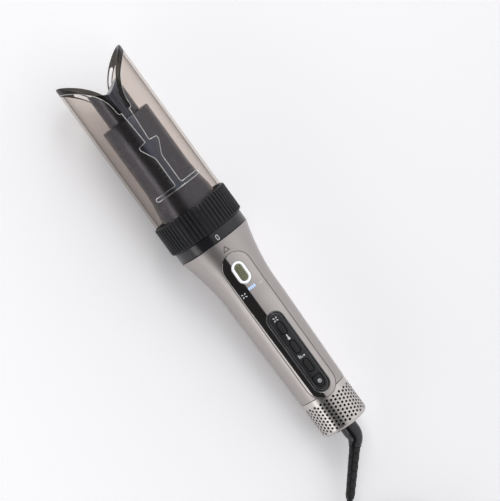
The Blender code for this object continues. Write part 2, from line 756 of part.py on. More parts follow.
def smooth_route(points, spacing):
    """Points at even spacing along a Catmull-Rom curve through the route's own points."""
    ends = [points[0] * 2 - points[1]] + points + [points[-1] * 2 - points[-2]]
    dense = []
    for k in range(1, len(ends) - 2):
        p0, p1, p2, p3 = ends[k - 1: k + 3]
        for i in range(24):
            t = i / 24
            dense.append(0.5 * (2 * p1 + (p2 - p0) * t + (2 * p0 - 5 * p1 + 4 * p2 - p3) * t**2
                                + (3 * p1 - 3 * p2 + p3 - p0) * t**3))
    dense.append(points[-1])
    length = sum((b - a).length for a, b in zip(dense, dense[1:]))
    count = max(2, round(length / spacing))
    route, walked, k = [dense[0]], 0.0, 0
    for i in range(1, count):
        target = length * i / count
        while walked + (dense[k + 1] - dense[k]).length < target:
            walked += (dense[k + 1] - dense[k]).length
            k += 1
        share = (target - walked) / (dense[k + 1] - dense[k]).length
        route.append(dense[k].lerp(dense[k + 1], share))
    route.append(dense[-1])
    return route


def cord_tube(name, points):
    curve = bpy.data.curves.new(name, "CURVE")
    curve.dimensions = "3D"
    curve.bevel_depth = cord_radius
    curve.bevel_resolution = 2
    curve.use_fill_caps = True
    route = smooth_route(points, 5 * cord_radius)
    spline = curve.splines.new("POLY")
    spline.points.add(len(route) - 1)
    for point, place in zip(spline.points, route):
        point.co = (*place, 1)
    curve.materials.append(soft_rubber)
    obj = bpy.data.objects.new(name, curve)
    bpy.context.scene.collection.objects.link(obj)
    return obj


# Free routes in table coordinates: from the boot to the coil, and from the coil's top to the plug
lead_route = [(-0.0340, -0.2156, 0.0170), (-0.0404, -0.2236, 0.0161), (-0.0463, -0.2321, 0.0139),
              (-0.0515, -0.2410, 0.0108), (-0.0559, -0.2498, 0.0076)]
tail_route = [(0.0141, -0.2934, 0.0139), (0.0148, -0.2854, 0.0139), (0.0143, -0.2784, 0.0140),
              (0.0114, -0.2674, 0.0153), (0.0040, -0.2598, 0.0174), (-0.0018, -0.2567, 0.0187),
              (-0.0069, -0.2564, 0.0189)]


def make_cord():
    """The free stretches as tubes, and the coil as one ring of its outer shape."""
    cord_tube("power_cord", [Vector(p) for p in lead_route])
    cord_tube("plug_lead", [Vector(p) for p in tail_route])
    x, y, _ = coil_centre
    bm = bmesh.new()
    outline = [(coil_inner, coil_low), (coil_outer, coil_low), (coil_outer, coil_high), (coil_inner, coil_high)]
    points = [bm.verts.new((x + r, y, z)) for r, z in outline]
    edges = [bm.edges.new((points[i - 1], points[i])) for i in range(4)]
    bmesh.ops.spin(bm, geom=points + edges, cent=coil_centre, axis=(0, 0, 1), angle=math.tau, steps=36, use_merge=True)
    finish("cord_coil", bm, soft_rubber, parent=None)


def make_tie():
    """A flat band round the coil's bundle; the coil lies on it."""
    half = tie_width / 2
    bore = math.sqrt((coil_inner * math.cos(math.pi / 36)) ** 2 - half**2)  # where the band's edges meet the turns
    low = Vector((bore - gap - tie_thick, -half, 0))
    high = Vector((coil_outer + gap + tie_thick, half, coil_high + gap + tie_thick))
    inset = Vector((tie_thick, -half, tie_thick))
    tie = block("cord_tie", low, high, matte_black, None)
    hole = block("tie_hole", low + inset, high - inset, None, None)
    for obj in (tie, hole):
        obj.location = coil_centre
        obj.rotation_euler = (0, 0, tie_angle)
    boolean(tie, hole)


def make_plug():
    """A flat two-pin plug lying on the coil, its pins towards -X."""
    x, y, _ = coil_centre
    middle = Vector((x + plug_length / 2, y + plug_offset, coil_high + gap + plug_thick / 2))
    half = [(0, 5.0), (6, 6.0), (19, 11.5), (25, 16.0), (36, 17.0)]
    outline = [(-along * mm, side * mm) for along, side in half]
    outline += [(-along * mm, -side * mm) for along, side in reversed(half)]
    body = prism("plug_body", outline, -plug_thick / 2, plug_thick / 2, gloss_black, None)
    body.location = middle
    for i, side in enumerate((-1, 1)):
        bm = bmesh.new()
        bmesh.ops.create_cone(bm, cap_ends=True, segments=16, radius1=2.4 * mm, radius2=2.4 * mm, depth=19 * mm)
        pin = finish(f"plug_pin_{i + 1}", bm, brass, None)
        pin.rotation_euler = (0, math.pi / 2, 0)
        pin.location = middle + Vector((-plug_length - gap - 9.5 * mm, side * 9.5 * mm, 0))


for make in (make_handle_shell, make_control_strip, make_led_bar, make_keypad_bezel, make_keys, make_curl_control,
             make_boards, make_motor, make_rotor, make_heater, make_outlet, make_intake, make_filter_sleeve,
             make_head_base, make_air_diverter, make_lock_band, make_grip_collar, make_smoked_tube, make_lip_guides,
             make_barrel, make_barrel_core, make_elbow, make_boot, make_cord, make_tie, make_plug):
    make()
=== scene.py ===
import json
import math

import bmesh
import bpy
from mathutils import Matrix, Vector
from mathutils.geometry import delaunay_2d_cdt


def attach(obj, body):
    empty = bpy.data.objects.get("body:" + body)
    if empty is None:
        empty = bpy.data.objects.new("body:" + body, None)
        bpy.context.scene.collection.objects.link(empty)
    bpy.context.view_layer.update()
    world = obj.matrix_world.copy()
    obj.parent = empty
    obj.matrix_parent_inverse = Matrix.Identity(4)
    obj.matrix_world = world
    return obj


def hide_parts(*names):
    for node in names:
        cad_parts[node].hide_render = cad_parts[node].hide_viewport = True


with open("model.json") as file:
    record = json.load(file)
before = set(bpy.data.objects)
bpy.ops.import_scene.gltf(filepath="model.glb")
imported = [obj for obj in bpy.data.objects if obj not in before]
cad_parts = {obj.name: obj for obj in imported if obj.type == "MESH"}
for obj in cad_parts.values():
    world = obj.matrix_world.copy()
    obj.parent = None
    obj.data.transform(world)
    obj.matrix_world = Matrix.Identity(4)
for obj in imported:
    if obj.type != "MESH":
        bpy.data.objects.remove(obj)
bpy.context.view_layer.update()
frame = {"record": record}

mm = 0.001

# The wand's own frame: +Y runs along it to the tips, +Z is the button side
joints = {j["name"]: j for j in frame["record"]["behaviour"]["joints"]}
along = Vector(joints["cord_swivel"]["axis"]).normalized()
across = Vector((1, 0, 0))
frontWay = across.cross(along).normalized()
wandFrame = Matrix((across, along, frontWay)).transposed().to_4x4()
wandFrame.translation = Vector(joints["cord_swivel"]["pos_m"])


def fillet(points, steps=5):
    # points are (x, y, radius); each corner with a radius becomes an arc
    made = []
    for i, (x, y, radius) in enumerate(points):
        corner = Vector((x, y))
        if radius == 0:
            made.append((x, y))
            continue
        a = Vector(points[i - 1][:2]) - corner
        b = Vector(points[(i + 1) % len(points)][:2]) - corner
        half = a.angle(b) / 2
        reach = min(radius / math.tan(half), 0.49 * a.length, 0.49 * b.length)
        centre = corner + (a.normalized() + b.normalized()).normalized() * (reach / math.cos(half))
        start = corner + a.normalized() * reach - centre
        end = corner + b.normalized() * reach - centre
        turn = math.atan2(start.x * end.y - start.y * end.x, start.dot(end))
        for k in range(steps + 1):
            spun = Matrix.Rotation(turn * k / steps, 2) @ start
            made.append((centre.x + spun.x, centre.y + spun.y))
    return made


def stadium(width, length, centreY, centreX=0.0, sideways=False, steps=14):
    # a round-ended outline; sideways lays its long side across the wand
    radius = width / 2
    points = []
    for end, start in ((length / 2 - radius, 0.0), (radius - length / 2, math.pi)):
        for k in range(steps + 1):
            angle = start + math.pi * k / steps
            x, y = radius * math.cos(angle), end + radius * math.sin(angle)
            points.append((centreX - y, centreY + x) if sideways else (centreX + x, centreY + y))
    return points


def evenly(points, spacing):
    # adds points on the long sides, so that a loop follows a curved surface
    made = []
    for a, b in zip(points, [*points[1:], points[0]]):
        a, b = Vector(a), Vector(b)
        count = max(1, round((b - a).length / spacing))
        made += [tuple(a.lerp(b, k / count)) for k in range(count)]
    return made


def inside(x, y, loop):
    hit = False
    for i, (bx, by) in enumerate(loop):
        ax, ay = loop[i - 1]
        if (ay > y) != (by > y) and x < (bx - ax) * (y - ay) / (by - ay) + ax:
            hit = not hit
    return hit


def fillLoops(outer, holes, spacing):
    # triangles between an outer loop and its holes, with a grid of points inside
    loops = [outer, *holes]
    points, edges = [], []
    for loop in loops:
        first = len(points)
        points += [Vector(p) for p in loop]
        edges += [(first + i, first + (i + 1) % len(loop)) for i in range(len(loop))]
    if spacing:
        xs, ys = [p[0] for p in outer], [p[1] for p in outer]
        rows = int((max(ys) - min(ys)) / spacing)
        columns = int((max(xs) - min(xs)) / spacing)
        edgePoints = [tuple(p) for p in points]
        for j in range(1, rows + 1):
            y = min(ys) + spacing * j
            near = [p for p in edgePoints if abs(p[1] - y) < spacing * 0.6]
            for i in range(1, columns + 1):
                x = min(xs) + spacing * (i + 0.5 * (j % 2) - 0.25)
                if not inside(x, y, outer) or any(inside(x, y, h) for h in holes):
                    continue
                if all(math.dist((x, y), p) > spacing * 0.55 for p in near):
                    points.append(Vector((x, y)))
    places, _, triangles, origins, *_ = delaunay_2d_cdt(points, edges, [], 0, 1e-7)
    kept = []
    for t in triangles:
        x = sum(places[v].x for v in t) / 3
        y = sum(places[v].y for v in t) / 3
        if inside(x, y, outer) and not any(inside(x, y, h) for h in holes):
            kept.append(tuple(t))
    # the triangulation may reorder points, so loops are looked up by what they came from
    lookup = {}
    for made, sources in enumerate(origins):
        for source in sources:
            lookup[source] = made
    ordered, first = [], 0
    for loop in loops:
        ordered.append([lookup[first + i] for i in range(len(loop))])
        first += len(loop)
    return [tuple(p) for p in places], kept, ordered


def addPiece(name, bm, materials, body, replaced=(), sharp=35, inWand=True):
    bmesh.ops.remove_doubles(bm, verts=bm.verts, dist=2e-6)
    bmesh.ops.dissolve_degenerate(bm, dist=1e-7, edges=bm.edges)
    bmesh.ops.recalc_face_normals(bm, faces=bm.faces)
    mesh = bpy.data.meshes.new(name)
    bm.to_mesh(mesh)
    bm.free()
    if inWand:
        mesh.transform(wandFrame)
    for material in materials if isinstance(materials, (list, tuple)) else [materials]:
        mesh.materials.append(material)
    mesh.shade_smooth()
    mesh.set_sharp_from_angle(angle=math.radians(sharp))
    piece = bpy.data.objects.new(name, mesh)
    bpy.context.scene.collection.objects.link(piece)
    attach(piece, body)
    if replaced:
        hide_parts(*replaced)
    return piece


def lathe(bm, profile, steps):
    # spins a closed loop of (y, radius) points about the wand's axis
    rings = []
    for i in range(steps):
        angle = math.tau * i / steps
        rings.append([bm.verts.new((r * math.sin(angle), y, r * math.cos(angle))) for y, r in profile])
    for i in range(steps):
        a, b = rings[i - 1], rings[i]
        for k in range(len(profile)):
            bm.faces.new((a[k - 1], a[k], b[k], b[k - 1]))
    return bm


def edgeRound(y, r, edge, way):
    # (y, radius) points from the wall to the end face; way is +1 at an upper end, -1 at a lower one
    turns = [math.pi / 8 * k for k in range(5)]
    return [(y - way * edge * (1 - math.sin(t)), r - edge * (1 - math.cos(t))) for t in turns]


def newMaterial(name, color, roughness, metallic=0.0):
    made = bpy.data.materials.new(name)
    made.use_nodes = True
    shader = made.node_tree.nodes["Principled BSDF"]
    shader.inputs["Base Color"].default_value = (*color, 1)
    shader.inputs["Roughness"].default_value = roughness
    shader.inputs["Metallic"].default_value = metallic
    return made, made.node_tree, shader


def link(tree, a, b):
    tree.links.new(a, b)


def calc(tree, operation, a, b=0.0):
    node = tree.nodes.new("ShaderNodeMath")
    node.operation = operation
    for socket, value in zip(node.inputs, (a, b)):
        if isinstance(value, (int, float)):
            socket.default_value = value
        else:
            link(tree, value, socket)
    return node.outputs[0]


def vector(tree, x=0.0, y=0.0, z=0.0):
    node = tree.nodes.new("ShaderNodeCombineXYZ")
    for socket, value in zip(node.inputs, (x, y, z)):
        if isinstance(value, (int, float)):
            socket.default_value = value
        else:
            link(tree, value, socket)
    return node.outputs[0]


def addNode(tree, kind, links=(), **settings):
    node = tree.nodes.new(kind)
    for key, value in settings.items():
        setattr(node, key, value)
    for label, value in dict(links).items():
        socket = node.inputs[label]
        if isinstance(value, bpy.types.NodeSocket):
            link(tree, value, socket)
        else:
            socket.default_value = value
    return node.outputs


def noiseOn(tree, scale, detail=2.0, stretch=(1, 1, 1), roughness=0.5):
    place = tree.nodes.new("ShaderNodeTexCoord")
    mapping = tree.nodes.new("ShaderNodeMapping")
    mapping.inputs["Scale"].default_value = stretch
    noise = tree.nodes.new("ShaderNodeTexNoise")
    noise.inputs["Scale"].default_value = scale
    noise.inputs["Detail"].default_value = detail
    noise.inputs["Roughness"].default_value = roughness
    link(tree, place.outputs["Object"], mapping.inputs["Vector"])
    link(tree, mapping.outputs["Vector"], noise.inputs["Vector"])
    return noise.outputs["Fac"]


def spreadTo(tree, value, low, high):
    # maps a noise's usual range to the range wanted
    node = tree.nodes.new("ShaderNodeMapRange")
    node.inputs["From Min"].default_value = 0.3
    node.inputs["From Max"].default_value = 0.7
    node.inputs["To Min"].default_value = low
    node.inputs["To Max"].default_value = high
    link(tree, value, node.inputs["Value"])
    return node.outputs["Result"]


def colorBetween(tree, value, low, high):
    node = tree.nodes.new("ShaderNodeMix")
    node.data_type = "RGBA"
    node.inputs["A"].default_value = (*low, 1)
    node.inputs["B"].default_value = (*high, 1)
    link(tree, value, node.inputs["Factor"])
    return node.outputs["Result"]


def vary(tree, shader, pattern, dark, light, glossPattern=None, rough=None):
    # a pattern shifts the colour between two shades, and the roughness where a range is given
    link(tree, colorBetween(tree, spreadTo(tree, pattern, 0, 1), dark, light), shader.inputs["Base Color"])
    if rough:
        link(tree, spreadTo(tree, glossPattern or pattern, *rough), shader.inputs["Roughness"])


def bumpOn(tree, shader, value, strength, distance):
    bump = tree.nodes.new("ShaderNodeBump")
    bump.inputs["Strength"].default_value = strength
    bump.inputs["Distance"].default_value = distance
    link(tree, value, bump.inputs["Height"])
    link(tree, bump.outputs["Normal"], shader.inputs["Normal"])


def makeSatinSilver():
    # bead-blasted, tinted metal: fine sparkle and broad soft variation in gloss
    made, tree, shader = newMaterial("satinSilver", (0.40, 0.37, 0.36), 0.36, 0.92)
    broad = noiseOn(tree, 38, 3)
    fine = noiseOn(tree, 5200, 1)
    vary(tree, shader, fine, (0.37, 0.342, 0.332), (0.44, 0.408, 0.397), broad, (0.33, 0.39))
    bumpOn(tree, shader, fine, 0.12, 0.00004)
    return made


def makeBrushedSilver():
    made, tree, shader = newMaterial("brushedSilver", (0.56, 0.53, 0.51), 0.3, 0.95)
    lines = noiseOn(tree, 900, 2, (1.0, 14.0, 1.0))
    vary(tree, shader, lines, (0.50, 0.47, 0.455), (0.62, 0.59, 0.57), lines, (0.25, 0.36))
    bumpOn(tree, shader, lines, 0.10, 0.00004)
    return made


def makeDarkChrome():
    # mirror-like inlay, with the faint waviness and wipe marks of a moulded part
    made, tree, shader = newMaterial("darkChrome", (0.42, 0.39, 0.38), 0.05, 1.0)
    wave = noiseOn(tree, 55, 1)
    wipe = noiseOn(tree, 160, 4, (1, 0.25, 1))
    link(tree, colorBetween(tree, spreadTo(tree, wave, 0, 1), (0.40, 0.372, 0.362), (0.44, 0.41, 0.40)),
         shader.inputs["Base Color"])
    link(tree, spreadTo(tree, wipe, 0.045, 0.11), shader.inputs["Roughness"])
    bumpOn(tree, shader, wave, 0.05, 0.0003)
    return made


def makeBlackPlastic(name, color, roughness, grain, depth, shine=0.3):
    # grain is the texture's cells per metre
    made, tree, shader = newMaterial(name, color, roughness)
    shader.inputs["Specular IOR Level"].default_value = shine
    fine = noiseOn(tree, grain, 2)
    broad = noiseOn(tree, 60, 3)
    lighter = tuple(min(1, c * 1.5 + 0.004) for c in color)
    vary(tree, shader, broad, color, lighter, broad, (roughness * 0.88, roughness * 1.14))
    bumpOn(tree, shader, fine, 0.25, depth)
    return made


def makeSmoked(name, faceTint, edgeTint, solidFace, solidEdge, body, power=2.0):
    # what is seen through it is tinted, more so near its edges, and a clear gloss lies over that
    made, tree, shader = newMaterial(name, body, 0.06)
    facing = tree.nodes.new("ShaderNodeLayerWeight")
    facing.inputs["Blend"].default_value = 0.5
    curve = tree.nodes.new("ShaderNodeMath")
    curve.operation = "POWER"
    curve.inputs[1].default_value = power
    link(tree, facing.outputs["Facing"], curve.inputs[0])
    clear = tree.nodes.new("ShaderNodeBsdfTransparent")
    link(tree, colorBetween(tree, curve.outputs[0], faceTint, edgeTint), clear.inputs["Color"])
    ranged = tree.nodes.new("ShaderNodeMapRange")
    ranged.inputs["To Min"].default_value = solidFace
    ranged.inputs["To Max"].default_value = solidEdge
    link(tree, curve.outputs[0], ranged.inputs["Value"])
    both = tree.nodes.new("ShaderNodeMixShader")
    link(tree, ranged.outputs["Result"], both.inputs[0])
    link(tree, clear.outputs[0], both.inputs[1])
    link(tree, shader.outputs[0], both.inputs[2])
    link(tree, both.outputs[0], tree.nodes["Material Output"].inputs["Surface"])
    haze = noiseOn(tree, 120, 4)
    link(tree, spreadTo(tree, haze, 0.06, 0.075), shader.inputs["Roughness"])
    return made


def makeGlow(name, color, strength):
    made, tree, shader = newMaterial(name, color, 0.35)
    shader.inputs["Emission Color"].default_value = (*color, 1)
    shader.inputs["Emission Strength"].default_value = strength
    frost = noiseOn(tree, 1800, 2)
    link(tree, spreadTo(tree, frost, 0.3, 0.45), shader.inputs["Roughness"])
    return made


def makeMetal(name, color, roughness, lineScale, stretch=(1, 1, 1)):
    made, tree, shader = newMaterial(name, color, roughness, 1.0)
    lines = noiseOn(tree, lineScale, 3, stretch)
    darker = tuple(c * 0.82 for c in color)
    vary(tree, shader, lines, darker, color, lines, (roughness * 0.8, roughness * 1.3))
    bumpOn(tree, shader, lines, 0.1, 0.00003)
    return made


def makeCoated(name, color, roughness):
    # a smooth ceramic coat on metal, with a faint cloudiness
    made, tree, shader = newMaterial(name, color, roughness, 0.85)
    cloud = noiseOn(tree, 40, 2)
    lighter = tuple(c * 1.05 for c in color)
    vary(tree, shader, cloud, color, lighter, cloud, (roughness, roughness * 1.04))
    return made


def makeBoard():
    # solder mask over copper tracks
    made, tree, shader = newMaterial("boardGreen", (0.02, 0.13, 0.06), 0.35)
    place = tree.nodes.new("ShaderNodeTexCoord")
    tracks = tree.nodes.new("ShaderNodeTexBrick")
    tracks.inputs["Scale"].default_value = 260
    tracks.inputs["Mortar Size"].default_value = 0.03
    tracks.inputs["Color1"].default_value = (0.018, 0.12, 0.055, 1)
    tracks.inputs["Color2"].default_value = (0.026, 0.15, 0.07, 1)
    tracks.inputs["Mortar"].default_value = (0.07, 0.24, 0.12, 1)
    link(tree, place.outputs["Object"], tracks.inputs["Vector"])
    link(tree, tracks.outputs["Color"], shader.inputs["Base Color"])
    return made


satinSilver = makeSatinSilver()
brushedSilver = makeBrushedSilver()
darkChrome = makeDarkChrome()
glossBlack = makeBlackPlastic("glossBlack", (0.008, 0.008, 0.010), 0.16, 900, 0.00002, 0.5)
matteBlack = makeBlackPlastic("matteBlack", (0.014, 0.014, 0.016), 0.42, 4200, 0.00006)
panelBlack = makeBlackPlastic("panelBlack", (0.014, 0.014, 0.016), 0.34, 5200, 0.00004)
ribBlack = makeBlackPlastic("ribBlack", (0.006, 0.006, 0.008), 0.30, 3600, 0.00005)
slotBlack = makeBlackPlastic("slotBlack", (0.004, 0.004, 0.005), 0.6, 2000, 0.00003)
anthracite = makeCoated("anthracite", (0.088, 0.092, 0.110), 0.27)
rubberBlack = makeBlackPlastic("rubberBlack", (0.010, 0.010, 0.011), 0.33, 2600, 0.00005)
smokedClear = makeSmoked("smokedClear", (0.945, 0.92, 0.90), (0.84, 0.81, 0.79), 0.025, 0.16,
                         (0.30, 0.27, 0.25))
innerWall = makeSmoked("innerWall", (0.935, 0.905, 0.885), (0.30, 0.27, 0.25), 0.02, 0.5,
                       (0.10, 0.09, 0.085), 5.0)
smokedDark = makeSmoked("smokedDark", (0.42, 0.40, 0.37), (0.05, 0.05, 0.05), 0.3, 0.85,
                        (0.022, 0.021, 0.020))
lampWhite = makeGlow("lampWhite", (0.80, 0.82, 0.85), 0.45)
ledBlue = makeGlow("ledBlue", (0.42, 0.58, 0.88), 0.6)
# light grey metal for the tube's edge beads: a painted highlight
edgePaintedHighlight = makeMetal("edgePaintedHighlight", (0.62, 0.61, 0.60), 0.12, 500)
# grey metal for the keypad's rim beads: a painted highlight
bezelPaintedHighlight = makeMetal("bezelPaintedHighlight", (0.30, 0.30, 0.31), 0.2, 500)
# printed white symbols given a faint emission: a painted glow, no lamp
symbolPaintedGlow = makeGlow("symbolPaintedGlow", (0.62, 0.63, 0.66), 0.12)
meshDark = makeBlackPlastic("meshDark", (0.012, 0.012, 0.012), 0.5, 2600, 0.0002)
steel = makeMetal("steel", (0.56, 0.56, 0.57), 0.3, 700, (1, 8, 1))
brass = makeMetal("brass", (0.78, 0.60, 0.28), 0.25, 900, (8, 1, 1))
copper = makeMetal("copper", (0.74, 0.38, 0.22), 0.32, 1500)
mica = makeBlackPlastic("mica", (0.50, 0.43, 0.31), 0.55, 1200, 0.00008)
boardGreen = makeBoard()
oliveDark = makeBlackPlastic("oliveDark", (0.16, 0.165, 0.10), 0.30, 2600, 0.00003)
print("materials made")


# Camera and light
view = {
    "aimAlong": 158.5 * mm,  # where the camera aims, along the wand and beside it
    "aimRight": 19.0 * mm,
    "turnLeft": 8.0,  # degrees from the button side
    "turnToTips": 5.5,
    "roll": 36.0,
    "distance": 2.2,
    "widthAtWand": 400 * mm,
    "floorGlow": 0.17,
}


def makeCamera():
    left, tips = math.radians(view["turnLeft"]), math.radians(view["turnToTips"])
    towards = Vector((-math.sin(left) * math.cos(tips), math.sin(tips), math.cos(left) * math.cos(tips)))
    turn = wandFrame.to_3x3()
    back = (turn @ towards).normalized()
    tip = (turn @ Vector((0, 1, 0)))
    tip = (tip - back * tip.dot(back)).normalized()
    # the wand leans to the left of upright
    up = Matrix.Rotation(-math.radians(view["roll"]), 3, back) @ tip
    right = up.cross(back)
    sideways = tip.cross(back)
    aim = wandFrame @ Vector((0, view["aimAlong"], 0)) + sideways * view["aimRight"]
    place = aim + back * view["distance"]
    camera = bpy.data.cameras.new("camera")
    camera.sensor_width = 36
    camera.lens = 36 * view["distance"] / view["widthAtWand"]
    camera.clip_end = 20
    holder = bpy.data.objects.new("camera", camera)
    holder.matrix_world = Matrix.LocRotScale(place, Matrix((right, up, back)).transposed(), None)
    bpy.context.scene.collection.objects.link(holder)
    bpy.context.scene.camera = holder
    return back, right, up


def makeWorld():
    # an even white tent with a dark panel to the left of the wand, which the chrome inlay reflects
    world = bpy.data.worlds.new("studio")
    bpy.context.scene.world = world
    world.use_nodes = True
    tree = world.node_tree
    background = tree.nodes["Background"]
    place = tree.nodes.new("ShaderNodeTexCoord")
    split = tree.nodes.new("ShaderNodeSeparateXYZ")
    link(tree, place.outputs["Generated"], split.inputs["Vector"])
    angle = tree.nodes.new("ShaderNodeMath")
    angle.operation = "ARCTAN2"
    link(tree, split.outputs["X"], angle.inputs[0])
    link(tree, split.outputs["Z"], angle.inputs[1])
    ramp = tree.nodes.new("ShaderNodeMapRange")
    ramp.inputs["From Min"].default_value = -math.pi
    ramp.inputs["From Max"].default_value = math.pi
    link(tree, angle.outputs[0], ramp.inputs["Value"])
    shade = tree.nodes.new("ShaderNodeValToRGB")
    link(tree, ramp.outputs["Result"], shade.inputs["Fac"])
    stops = shade.color_ramp
    levels = [(-92, 0.95), (-66, 0.9), (-63, 0.04), (-10.5, 0.04), (-8.5, 0.75), (30, 1.0), (60, 1.15),
              (95, 0.85)]
    stops.elements[0].color = stops.elements[1].color = (0.8, 0.8, 0.808, 1)
    for degrees, level in levels:
        stops.elements.new((degrees + 180) / 360).color = (level, level, level * 1.01, 1)
    # the dark panel has a lower and an upper end
    height = calc(tree, "ABSOLUTE", split.outputs["Y"])
    beyond = addNode(tree, "ShaderNodeMapRange", {"Value": height, "From Min": 0.78,
                                                  "From Max": 0.86})["Result"]
    mixed = colorBetween(tree, beyond, (0, 0, 0), (0.85, 0.85, 0.86))
    link(tree, shade.outputs["Color"], mixed.node.inputs["A"])
    link(tree, mixed, background.inputs["Color"])
    background.inputs["Strength"].default_value = 1.0


def makeLight(name, place, target, size, power, color=(1, 1, 1)):
    lamp = bpy.data.lights.new(name, "AREA")
    lamp.shape = "RECTANGLE"
    lamp.size, lamp.size_y = size
    lamp.energy = power
    lamp.color = color
    holder = bpy.data.objects.new(name, lamp)
    holder.location = place
    holder.rotation_euler = (Vector(target) - Vector(place)).to_track_quat("-Z", "Y").to_euler()
    bpy.context.scene.collection.objects.link(holder)


def makeFloor():
    bm = bmesh.new()
    bmesh.ops.create_grid(bm, x_segments=1, y_segments=1, size=6)
    mesh = bpy.data.meshes.new("floor")
    bm.to_mesh(mesh)
    bm.free()
    paper, tree, shader = newMaterial("paper", (0.93, 0.925, 0.94), 0.7)
    fibre = noiseOn(tree, 300, 3)
    link(tree, colorBetween(tree, spreadTo(tree, fibre, 0, 1), (0.925, 0.92, 0.935), (0.935, 0.93, 0.945)),
         shader.inputs["Base Color"])
    shader.inputs["Emission Color"].default_value = (1.0, 0.985, 1.0, 1)
    shader.inputs["Emission Strength"].default_value = view["floorGlow"]
    mesh.materials.append(paper)
    floor = bpy.data.objects.new("floor", mesh)
    bpy.context.scene.collection.objects.link(floor)


bpy.context.scene.view_settings.view_transform = "Standard"
cameraBack, cameraRight, cameraUp = makeCamera()
makeWorld()
makeLight("keyLamp", (0.35, 0.75, 0.9), (0, 0, 0.03), (0.3, 0.6), 3.0)
makeLight("sideLamp", (-0.75, -0.1, 0.35), (0, 0, 0.03), (0.7, 0.3), 1.0)
makeFloor()
print("camera, light and floor made")


# Shaping helpers
def offsetLoop(loop, distance):
    made = []
    for i, (x, y) in enumerate(loop):
        a, b = Vector(loop[i - 1]), Vector(loop[(i + 1) % len(loop)])
        way = (b - a).normalized()
        made.append((x + way.y * distance, y - way.x * distance))
    return made


def joinRings(bm, a, b, materialIndex=0):
    for i in range(len(a)):
        corners = list(dict.fromkeys((a[i - 1], a[i], b[i], b[i - 1])))
        if len(corners) > 2 and not bm.faces.get(corners):
            bm.faces.new(corners).material_index = materialIndex


def panel(bm, outer, holes=(), lift=0.0, depth=0.002, edge=0.0003, grid=0.0018, heightAt=None,
          materialIndex=0):
    # a plate that lies on a curved surface, with rounded edges and through holes
    heightAt = heightAt or frontHeight
    outer = evenly(outer, grid)
    holes = [evenly(hole, grid) for hole in holes]
    places, triangles, ordered = fillLoops(offsetLoop(outer, -edge), [offsetLoop(h, edge) for h in holes],
                                           grid)
    top = [bm.verts.new((x, y, heightAt(x, y, lift))) for x, y in places]
    bottom = [bm.verts.new((x, y, heightAt(x, y, -depth))) for x, y in places]
    for t in triangles:
        bm.faces.new([top[v] for v in t]).material_index = materialIndex
        bm.faces.new([bottom[v] for v in reversed(t)]).material_index = materialIndex
    roundSteps = 3
    for loop, order, way in zip([outer, *holes], ordered, [-1] + [1] * len(holes)):
        last = [top[v] for v in order]
        for k in range(1, roundSteps + 1):
            turn = math.pi / 2 * k / roundSteps
            inset, drop = edge * (1 - math.sin(turn)), edge * (1 - math.cos(turn))
            ring = [bm.verts.new((x, y, heightAt(x, y, lift - drop))) for x,
                    y in offsetLoop(loop, way * inset)]
            joinRings(bm, last, ring, materialIndex)
            last = ring
        ring = [bm.verts.new((x, y, heightAt(x, y, -depth))) for x, y in loop]
        joinRings(bm, last, ring, materialIndex)
        joinRings(bm, ring, [bottom[v] for v in order], materialIndex)
    return bm


def circleRing(middle, along, radius, steps):
    along = Vector(along).normalized()
    side = along.cross(Vector((0, 0, 1))).normalized()
    other = side.cross(along)
    return [Vector(middle) + (side * math.cos(a) + other * math.sin(a)) * radius
            for a in (math.tau * k / steps for k in range(steps))]


def sweepRings(bm, rings):
    # rings of equal length along a path, closed at both ends
    made = [[bm.verts.new(p) for p in ring] for ring in rings]
    for a, b in zip(made, made[1:]):
        joinRings(bm, a, b)
    bm.faces.new(made[0])
    bm.faces.new(list(reversed(made[-1])))
    return bm


def tubeAlong(bm, points, radius, sides=8):
    # a round bead along a path
    points = [Vector(p) for p in points]
    side = (points[1] - points[0]).normalized().orthogonal().normalized()
    rings = []
    for i, point in enumerate(points):
        ahead = (points[min(i + 1, len(points) - 1)] - points[max(i - 1, 0)]).normalized()
        side = (side - ahead * side.dot(ahead)).normalized()
        other = ahead.cross(side)
        rings.append([point + (side * math.cos(a) + other * math.sin(a)) * radius
                      for a in (math.tau * k / sides for k in range(sides))])
    return sweepRings(bm, rings)


def beadRound(bm, outline, radius, heightAt):
    # a round bead along a closed outline on a curved surface
    points = [(x, y, heightAt(x, y)) for x, y in evenly(outline, 1.2 * mm)]
    return tubeAlong(bm, points + points[:1], radius)


def tempObject(bm):
    bmesh.ops.remove_doubles(bm, verts=bm.verts, dist=1e-6)
    bmesh.ops.recalc_face_normals(bm, faces=bm.faces)
    mesh = bpy.data.meshes.new("working")
    bm.to_mesh(mesh)
    bm.free()
    made = bpy.data.objects.new("working", mesh)
    bpy.context.scene.collection.objects.link(made)
    return made


def finished(working, *others):
    # the evaluated mesh as a bmesh; the working objects go
    shown = working.evaluated_get(bpy.context.evaluated_depsgraph_get())
    mesh = bpy.data.meshes.new_from_object(shown)
    bm = bmesh.new()
    bm.from_mesh(mesh)
    bpy.data.meshes.remove(mesh)
    for item in (working, *others):
        bpy.data.objects.remove(item)
    return bm


def carve(bm, cutters, solver="EXACT"):
    working = tempObject(bm)
    tools = [tempObject(c) for c in cutters]
    for tool in tools:
        cut = working.modifiers.new("cut", "BOOLEAN")
        cut.object = tool
        cut.operation = "DIFFERENCE"
        cut.solver = solver
    return finished(working, *tools)


def followSurface(piece, normalAt, limit=0.985):
    # shading follows the true curved surface, however its faces are cut
    mesh = piece.data
    back, turn = wandFrame.inverted(), wandFrame.to_3x3()
    normals = []
    for face in mesh.polygons:
        for v in face.vertices:
            aim = turn @ normalAt(back @ mesh.vertices[v].co)
            normals.append(aim if aim.dot(face.normal) > limit else (0, 0, 0))
    mesh.normals_split_custom_set(normals)
    return piece


def roundNormal(place):
    # straight out from the wand's axis
    return Vector((place.x, 0, place.z)).normalized()


